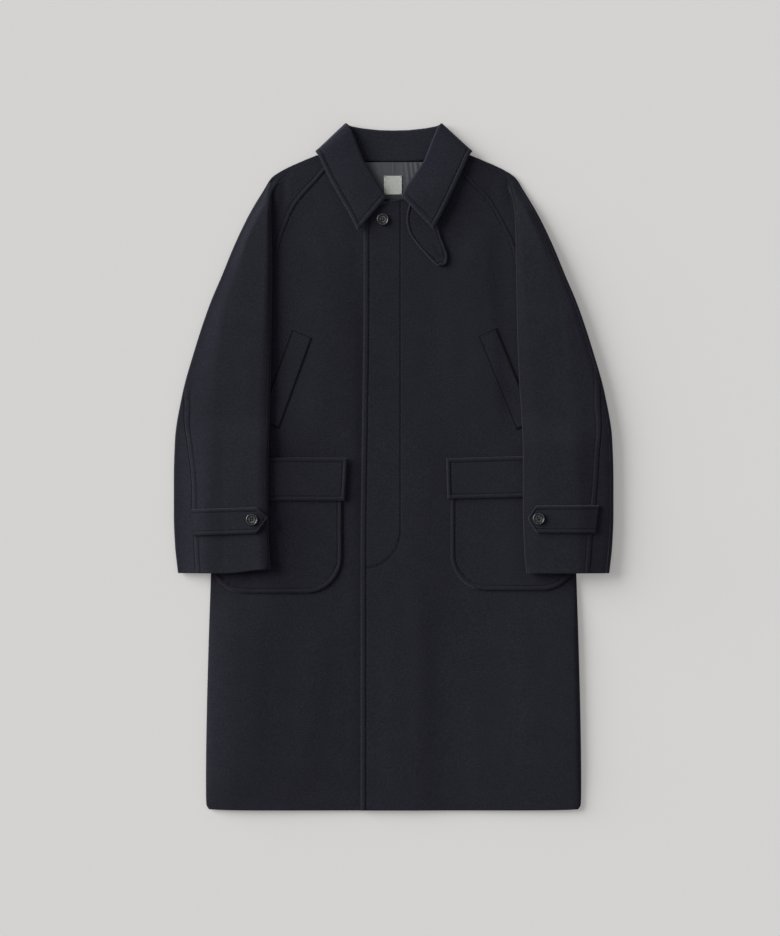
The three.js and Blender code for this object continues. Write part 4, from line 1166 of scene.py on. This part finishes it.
# patch pocket: straight sides, quarter circles at the lower corners
def makePocket(side):
    size, r = pockets[side], pockets["radius"]
    straight = size["top"] - size["bottom"] - r
    down = spread(straight, 26, far=False) * straight
    drop = r * np.sin(np.radians(np.linspace(3, 84, 30)))
    rows = np.concatenate([size["top"] - down, size["bottom"] + r - drop, [size["bottom"]]])[:, None]
    lowest = np.maximum(0, size["bottom"] + r - rows)
    inset = r - np.sqrt(np.maximum(0, r * r - lowest * lowest))
    inner = size["inner"] + inset
    outer = np.minimum(size["outer"] - inset, sideLimit(rows))
    x = signOf(side) * mix(inner, outer, spread(200.0, 40)[None, :])
    y = rows + 0 * x
    grid = np.stack([x, y, frontTop(side, x, y) + cloth["air"] + cloth["pocket"] / 2], axis=-1)
    distance = pocketDistance(size, np.abs(x), y)
    relief = stitchedEdge(distance, pockets["stitch"], 0.8)
    shade = pockets["shade"] * np.exp(-distance ** 2)
    piece, upper = makeWall(f"patch_pocket_{side}Cloth", grid, cloth["pocket"], (20, 25), relief,
                            paintedShade=shade)
    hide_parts(f"patch_pocket_{side}")
    sewPocket(side)


for side in ("left", "right"):
    welt = {**welts["both"], **welts[side]}
    panelOn(f"welt_{side}", side, welt, cloth["welt"], welt["over"])
    makePocket(side)
    flap = {**flaps["both"], **flaps[side]}
    upper = panelOn(f"pocket_flap_{side}", side, flap, cloth["flap"], cloth["pocket"] + 2 * cloth["air"])
    sew(upper[6:-6, 6])
    sew(upper[-7, 6:-6])
    sew(upper[6, 6:-6])
print("pockets made")

# throat tab: rows across it from under the collar to the round end
tabTable = {
    "from": [(26, 441), (22, 425), (22, 408), (28, 390), (41, 372), (56, 355), (66, 344.5), (71, 340.6),
             (75, 338)],
    "to": [(68, 438), (71, 421), (75, 404), (80, 386), (86, 371), (90.5, 357), (90, 346), (88, 341.5),
           (85, 339.5)],
    "rows": 70, "tip": (80.0, 338.5), "tipShare": 0.9, "stitch": 5.2, "slot": ((64.5, 373), (75.5, 353)),
    "cut": {"flat": (55, 112), "area": 4410, "on": ["front_rightCloth"]},
}


# stations joined by a smooth curve through them, a cubic between each two
def throughPoints(points, count):
    p = np.array(points, float)
    p = np.concatenate([[2 * p[0] - p[1]], p, [2 * p[-1] - p[-2]]])
    place = np.linspace(0, len(p) - 3 - 1e-6, count)
    k = place.astype(int)
    t = (place - k)[:, None]
    a, b, c, d = p[k], p[k + 1], p[k + 2], p[k + 3]
    cubic = (3 * b - a - 3 * c + d) * t ** 3
    return 0.5 * (2 * b + (c - a) * t + (2 * a - 5 * b + 4 * c - d) * t ** 2 + cubic)


# the throat tab's upper face: one air gap and its own thickness over the right front
def tabTop(x, y):
    return frontTop("right", x, y) + cloth["air"] + cloth["collar"]


# straight rows between its two curved edges, stitched round
def makeThroatTab():
    a = throughPoints(tabTable["from"], tabTable["rows"])
    b = throughPoints(tabTable["to"], tabTable["rows"])
    u = spread(44.0, 6, near=(0, 1, 2.2, 3.4, 4.4, 5.2, 6, 6.8, 8))[None, :]
    x, y = [mix(a[:, k:k + 1], b[:, k:k + 1], u) for k in (0, 1)]
    grid = np.stack([x, y, tabTop(x, y) - cloth["collar"] / 2], axis=-1)
    width = np.linalg.norm(b - a, axis=1)[:, None]
    fromTip = np.linalg.norm(np.stack([x, y], axis=-1) - np.array(tabTable["tip"]), axis=-1)
    distance = np.minimum(np.minimum(u, 1 - u) * width, fromTip * tabTable["tipShare"])
    relief = stitchedEdge(distance, tabTable["stitch"], 0.9)
    piece, upper = makeWall("throat_tabCloth", grid, cloth["collar"], (20, 10), relief)
    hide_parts("throat_tab")
    sew(upper[4:58, 5])
    sew(upper[4:58, -6])


makeThroatTab()

cuffTabs = {
    "width": 46.0, "stitch": 6.5, "pointFall": 0.75, "pointRound": 6, "shade": 0.8, "shadeWide": 1.2,
    "slantRun": 50,
    "left": {"x": [337, 228, 213, 209.5], "upper": [-69, -65.5, -78.3, -81], "lower": [-113, -109, -88, -84],
             "slant": 1.2, "flat": (130, 48), "area": 5240, "on": ["sleeve_leftCloth"]},
    "right": {"x": [340, 238, 228, 224.5], "upper": [-62, -62.5, -77, -81.5], "lower": [-109, -108, -91, -85],
              "slant": 3.0, "flat": (122, 48), "area": 5070, "on": ["sleeve_rightCloth"]},
}


# the sleeve's upper face
def sleeveTop(side, x, y):
    row = sleeveAt(side, y)
    return sleeveTopMid(row, np.maximum(x, row["inside"])) + cloth["wall"] / 2


# the cuff tab's upper face: two air gaps and its own thickness over the sleeve
def cuffTabTop(side, x, y):
    return sleeveTop(side, x, y) + 2 * cloth["air"] + cloth["collar"]


# a strip from the overarm seam to its point, straight between an upper and a lower line
def makeCuffTab(side):
    size = cuffTabs[side]
    start, end = size["x"][0], size["x"][-1]
    x = (start - spread(start - end, 44) * (start - end))[:, None]
    upper, lower = (np.interp(x, size["x"][::-1], size[edge][::-1]) for edge in ("upper", "lower"))
    u = spread(cuffTabs["width"], 10)[None, :]
    y = mix(upper, lower, u)
    x = x + 0 * y
    point = (x - end) * cuffTabs["pointFall"] + cuffTabs["pointRound"] * (1 - np.abs(2 * u - 1))
    distance = np.minimum(np.minimum(u, 1 - u) * (upper - lower), point)
    relief = stitchedEdge(distance, cuffTabs["stitch"], 0.8)
    shade = cuffTabs["shade"] * np.exp(-((start - x) / cuffTabs["shadeWide"]) ** 2)
    x = x + mix(size["slant"], -size["slant"], u) * ramp(x, start - cuffTabs["slantRun"], start)
    grid = np.stack([signOf(side) * x, y, cuffTabTop(side, x, y) - cloth["collar"] / 2], axis=-1)
    piece, top = makeWall(f"cuff_tab_{side}Cloth", grid, cloth["collar"], (20, 12), relief,
                          paintedShade=shade)
    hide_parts(f"cuff_tab_{side}")
    sew(top[2:-20, 6])
    sew(top[2:-20, -7])


for side in ("left", "right"):
    makeCuffTab(side)
print("tabs made")

# lining in the neck, with a centre pleat and a few soft folds
lining = {"rows": (511.5, 428, 70), "columns": 130, "half": (34, 68), "halfY": (425, 490),
          "pleatEdge": -2.2, "pleatHigh": 0.4, "pleatWide": 6.0, "foldY": (455, 490), "slip": 0.12,
          "folds": [(14, 3.0, 0.3), (22, 3.0, 0.7), (30, 2.4, 0.6), (38, 3.0, 0.8), (47, 2.6, 0.6),
                    (56, 3.0, 0.5), (-14, 4, 0.2), (-24, 5, 0.4), (-38, 5, 0.3)],
          "cut": {"flat": (137, 84), "area": 9360, "on": ["backCloth"]}}


# the pleat is a smooth step up and a long one down, each fold a slanted bell. Painted shade darkens
# it beside the pleat, on the left where the collar casts its shadow, and low in the neck.
def makeLining():
    y = np.linspace(*lining["rows"])[:, None]
    x = mix(*lining["half"], ramp(y, *lining["halfY"])) * np.linspace(-1, 1, lining["columns"])[None, :]
    past = x - lining["pleatEdge"]
    shown = ramp(y, *lining["foldY"])
    pleat = lining["pleatHigh"] * ramp(past, -0.5, 0.4) * (1 - ramp(past, 1, lining["pleatWide"]))
    relief = pleat * shown
    for place, wide, high in lining["folds"]:
        slant = x - place - (511 - y) * lining["slip"]
        relief = relief + high * np.exp(-(slant / wide) ** 2) * shown
    relief = np.minimum(relief, mix(0.45, 0.85, ramp(x, 15, 20)))
    # painted shade: beside the pleat, the collar's shadow on the left, and low in the neck
    dark = 0.8 * np.exp(-((past + 0.8) / 0.9) ** 2) + 0.7 * ramp(x, -20, -46) * ramp(y, 440, 470)
    dark = np.minimum(1, dark + ramp(y, 461, 455))
    grid = np.stack([x, y + 0 * x, layer + cloth["lining"] / 2 + neckLift(x, y)], axis=-1)
    piece, upper = makeWall("neck_liningCloth", grid, cloth["lining"], (30, 50), relief,
                            paintedShade=dark, material=liningMaterial())
    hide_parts("neck_lining")


makeLining()
label = {"x": (-15.9, 14.0), "y": (489, 457.8), "curlX": (-1, 15, 0.25), "curlY": (473.4, 15.6, 0.2),
         "count": 40, "rounding": 0.3, "stitch": (-1.6, 1.6, 3.4), "stitchHigh": 0.35,
         "flat": (30, 31.2), "area": 930, "on": ["neck_liningCloth"]}


# a flat bare label, its edges curled up by a fourth power, with a stitch at each corner
def makeLabel():
    x = np.linspace(*label["x"], label["count"])[None, :]
    y = np.linspace(*label["y"], label["count"])[:, None]
    height = layer + cloth["lining"] + cloth["air"] + cloth["label"] / 2 + neckLift(x, y)
    curl = sum(high * ((at - middle) / half) ** 4
               for at, (middle, half, high) in ((x, label["curlX"]), (y, label["curlY"])))
    grid = np.stack([x + 0 * y, y + 0 * x, height + curl], axis=-1)
    piece, upper = makeWall("neck_labelCloth", grid, cloth["label"], (20, 20),
                            rounding=label["rounding"], material=labelMaterial())
    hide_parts("neck_label")
    for across, down in ((2, 2), (2, -3), (-3, 2), (-3, -3)):
        at = upper[down, across]
        sew(np.stack([at + [along, 0, label["stitchHigh"]] for along in label["stitch"]]), sink=0)


makeLabel()

# Buttonholes. The profile gives loops round a slit: distance, height and shade.
slot = {"points": 44, "eyelet": 0.8, "wider": 0.5, "widerRun": 1.4,
        "cuff": (14, -12.5), "front": (12, -13),
        "profile": [(0.05, -0.45, 1.0), (0.45, -0.4, 1.0), (0.7, 0.1, 0.7), (1.0, 0.38, 0.1),
                    (1.5, 0.4, 0.0), (1.95, 0.15, 0.4), (2.1, -0.4, 0.9), (1.2, -0.8, 1.0)]}


# add one slit from first to last on a surface: round loops, pulled out to an eyelet at the last end
def addSlot(points, faces, shades, first, last, surface):
    first, last = np.array(first, float), np.array(last, float)
    length = np.linalg.norm(last - first)
    way = (last - first) / length
    aside = np.array([-way[1], way[0]])
    n = slot["points"]
    start = sum(len(p) for p in points)
    angle = (np.arange(n) + 0.5) * 2 * np.pi / n
    loops = []
    for distance, height, shade in slot["profile"]:
        eyelet = distance + slot["eyelet"] * (np.cos(angle) > 0) * np.abs(np.cos(angle)) ** 2
        along = np.where(np.cos(angle) > 0, length, 0) + eyelet * np.cos(angle)
        wider = slot["wider"] * np.exp(-((along - length) / slot["widerRun"]) ** 2)
        across = distance * np.sin(angle) * (1 + wider)
        flat = first + along[:, None] * way + across[:, None] * aside
        loops.append(np.column_stack([flat, surface(flat[:, 0], flat[:, 1]) + height]))
        shades.append(np.full(n, shade))
    points.append(np.concatenate(loops))
    ids = np.arange(len(loops) * n).reshape(-1, n) + start
    faces.append(tubeFaces(ids)[:, [0, 3, 2, 1]])
    k = np.arange(n // 2 - 1)
    for loop, flip in ((ids[0], 1), (ids[-1], -1)):
        faces.append(np.stack([loop[k], loop[k + 1], loop[n - 2 - k], loop[n - 1 - k]], axis=-1)[:, ::flip])


buttonPlaces = {"button_front": (-18, 416), "button_cuff_left": (-236, -86),
                "button_cuff_right": (242, -84.5)}


# all four buttonholes as one mesh
def makeSlots():
    points, faces, shades = [], [], []
    addSlot(points, faces, shades, *tabTable["slot"], tabTop)
    for side in ("left", "right"):
        bx, by = buttonPlaces[f"button_cuff_{side}"]
        sign = signOf(side)
        first, last = ((bx + sign * along, by) for along in slot["cuff"])
        addSlot(points, faces, shades, first, last, lambda x, y: cuffTabTop(side, np.abs(x), y))
    bx, by = buttonPlaces["button_front"]
    first, last = ((bx + along, by) for along in slot["front"])
    addSlot(points, faces, shades, first, last, lambda x, y: frontTop("right", x, y))
    return makeObject("buttonholes", np.concatenate(points), np.concatenate(faces), navy,
                      np.concatenate(shades))


makeSlots()

# Buttons. The profile is in shares of radius and height; the tones are painted shade at distances from the
# middle, dark in the groove and at the bevel, less on the rim and dish, which read as painted highlight
# rings.
button = {"radius": 10.4, "height": 3.4, "hole": 1.15, "spread": 2.6, "diagonal": 1.41, "steps": 64,
          "floor": 0.57, "threads": (-0.35, 0.35), "threadPast": 0.4, "threadHigh": 0.35, "threadFall": 1.6,
          "profile": [(0, 0), (0.6, 0), (0.84, 0.1), (0.95, 0.26), (1, 0.42), (0.995, 0.56), (0.96, 0.76),
                      (0.91, 0.92), (0.865, 1.0), (0.82, 1.0), (0.78, 0.94), (0.74, 0.8), (0.70, 0.68),
                      (0.65, 0.66), (0.60, 0.7), (0.48, 0.63), (0.3, 0.57), (0, 0.55)],
          "tones": {"y": [0, 3.4, 4.4, 5.6, 6.2, 7.6, 8.0, 8.3, 8.9, 9.3, 10.4],
                    "x": [0.7, 0.45, 0.15, 0.3, 1.0, 1.0, 0.5, 0.2, 0.2, 0.95, 1.0]}}


# surface of revolution of the profile, closed by fans at the middle of both faces
def turned(profile):
    p = np.array(profile, float) * [button["radius"], button["height"]]
    steps = button["steps"]
    angle = np.arange(steps) * 2 * np.pi / steps
    ring = np.stack([p[1:-1, None, 0] * np.cos(angle), p[1:-1, None, 0] * np.sin(angle),
                     np.repeat(p[1:-1, None, 1], steps, axis=1)], axis=-1)
    points = np.concatenate([ring.reshape(-1, 3), [[0, 0, p[0, 1]], [0, 0, p[-1, 1]]]])
    ids = np.arange(ring.shape[0] * steps).reshape(ring.shape[0], steps)
    after = np.roll(ids, -1, axis=1)
    low, high = len(points) - 2, len(points) - 1
    caps = [(after[0, k], ids[0, k], low) for k in range(steps)]
    caps += [(ids[-1, k], after[-1, k], high) for k in range(steps)]
    return points, [tuple(q) for q in tubeFaces(ids).tolist()] + caps


# where a button's underside lies: one air gap over the front or the cuff tab
def buttonSeat(name, x, y):
    if name == "button_front":
        return float(frontTop("right", np.array([x]), np.array([y]))[0]) + cloth["air"]
    side = name.split("_")[-1]
    return float(cuffTabTop(side, np.abs(np.array([[x]])), np.array([[y]]))[0, 0]) + cloth["air"]


# the turned blank with four holes cut through it
def buttonMesh():
    points, faces = turned(button["profile"])
    mesh = bpy.data.meshes.new("buttonBlank")
    mesh.from_pydata((points * toMetres).tolist(), [], faces)
    blank = bpy.data.objects.new("buttonBlank", mesh)
    bpy.context.scene.collection.objects.link(blank)
    cutters = []
    offset = button["spread"] / button["diagonal"] * toMetres
    for k in range(4):
        sx, sy = (-1 if k % 2 else 1), (-1 if k // 2 else 1)
        bpy.ops.mesh.primitive_cylinder_add(vertices=20, radius=button["hole"] * toMetres, depth=0.012,
                                            location=(sx * offset, sy * offset, 0.002))
        cutter = bpy.context.object
        cut = blank.modifiers.new(f"hole{k}", "BOOLEAN")
        cut.operation = "DIFFERENCE"
        cut.object = cutter
        cutters.append(cutter)
    finished = bpy.data.meshes.new_from_object(blank.evaluated_get(bpy.context.evaluated_depsgraph_get()))
    for thing in cutters + [blank]:
        bpy.data.objects.remove(thing)
    return finished


# two pairs of thread bars over the holes, sinking at their ends by an eighth power
def sewButton(bx, by, bottom):
    s = button["spread"] / button["diagonal"]
    reach = s + button["threadPast"]
    bar = np.linspace(-reach, reach, 9)
    top = bottom + button["height"] * button["floor"] + button["threadHigh"]
    z = top - button["threadFall"] * (np.abs(bar) / reach) ** 8
    for side in (-1, 1):
        for shift in button["threads"]:
            sew(np.stack([bx + side * s + shift + 0 * bar, by + bar, z], axis=-1), sink=0)


# each button is a copy of the one mesh, its painted shade and highlight rings taken from a table of distances
# from the middle
def makeButtons():
    finished = buttonMesh()
    material = buttonMaterial()
    for name, (bx, by) in buttonPlaces.items():
        bottom = buttonSeat(name, bx, by)
        copy = finished.copy()
        co = np.empty(len(copy.vertices) * 3, dtype=np.float32)
        copy.vertices.foreach_get("co", co)
        co = co.reshape(-1, 3) + np.array([bx, by, bottom]) * toMetres
        copy.vertices.foreach_set("co", co.astype(np.float32).ravel())
        copy.polygons.foreach_set("use_smooth", np.ones(len(copy.polygons), dtype=bool))
        away = np.hypot(co[:, 0] / toMetres - bx, co[:, 1] / toMetres - by)
        shades = copy.attributes.new("paintedShade", "FLOAT", "POINT")
        shades.data.foreach_set("value", column(button["tones"], away).astype(np.float32))
        copy.materials.clear()
        copy.materials.append(material)
        copy.update()
        piece = bpy.data.objects.new(f"{name}Shell", copy)
        bpy.context.scene.collection.objects.link(piece)
        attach(piece, "root")
        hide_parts(name)
        sewButton(bx, by, bottom)


makeButtons()
makeStitches()
print("buttons and sewing made")

# floor, light and camera
bpy.ops.mesh.primitive_plane_add(size=8, location=(0, 0, -0.0004))
floor = bpy.context.object
floor.name = "floor"
floor.data.materials.append(floorMaterial())

# one broad sun from the left and a little from the top, and an even white sky
lighting = {"azimuth": 157, "elevation": 16, "broad": 46, "sun": 6.2, "sky": 0.32}


# a broad sun, turned so that it shines from its azimuth and elevation
def addSun():
    data = bpy.data.lights.new("sun", "SUN")
    data.energy = lighting["sun"]
    data.angle = np.radians(lighting["broad"])
    azimuth, elevation = np.radians(lighting["azimuth"]), np.radians(lighting["elevation"])
    lamp = bpy.data.objects.new("sun", data)
    lamp.rotation_euler = (np.pi / 2 - elevation, 0, azimuth + np.pi / 2)
    bpy.context.scene.collection.objects.link(lamp)


addSun()
world = bpy.data.worlds.new("studio")
world.use_nodes = True
world.node_tree.nodes["Background"].inputs["Color"].default_value = (1, 1, 1, 1)
world.node_tree.nodes["Background"].inputs["Strength"].default_value = lighting["sky"]
bpy.context.scene.world = world
bpy.context.scene.view_settings.view_transform = "Standard"

view = {"height": 5.0, "across": 1.569, "aim": -0.0059, "sensor": 36}
cameraData = bpy.data.cameras.new("camera")
cameraData.sensor_width = view["sensor"]
cameraData.lens = view["sensor"] * view["height"] / view["across"]
camera = bpy.data.objects.new("camera", cameraData)
camera.location = (view["aim"], 0, view["height"])
bpy.context.scene.collection.objects.link(camera)
bpy.context.scene.camera = camera
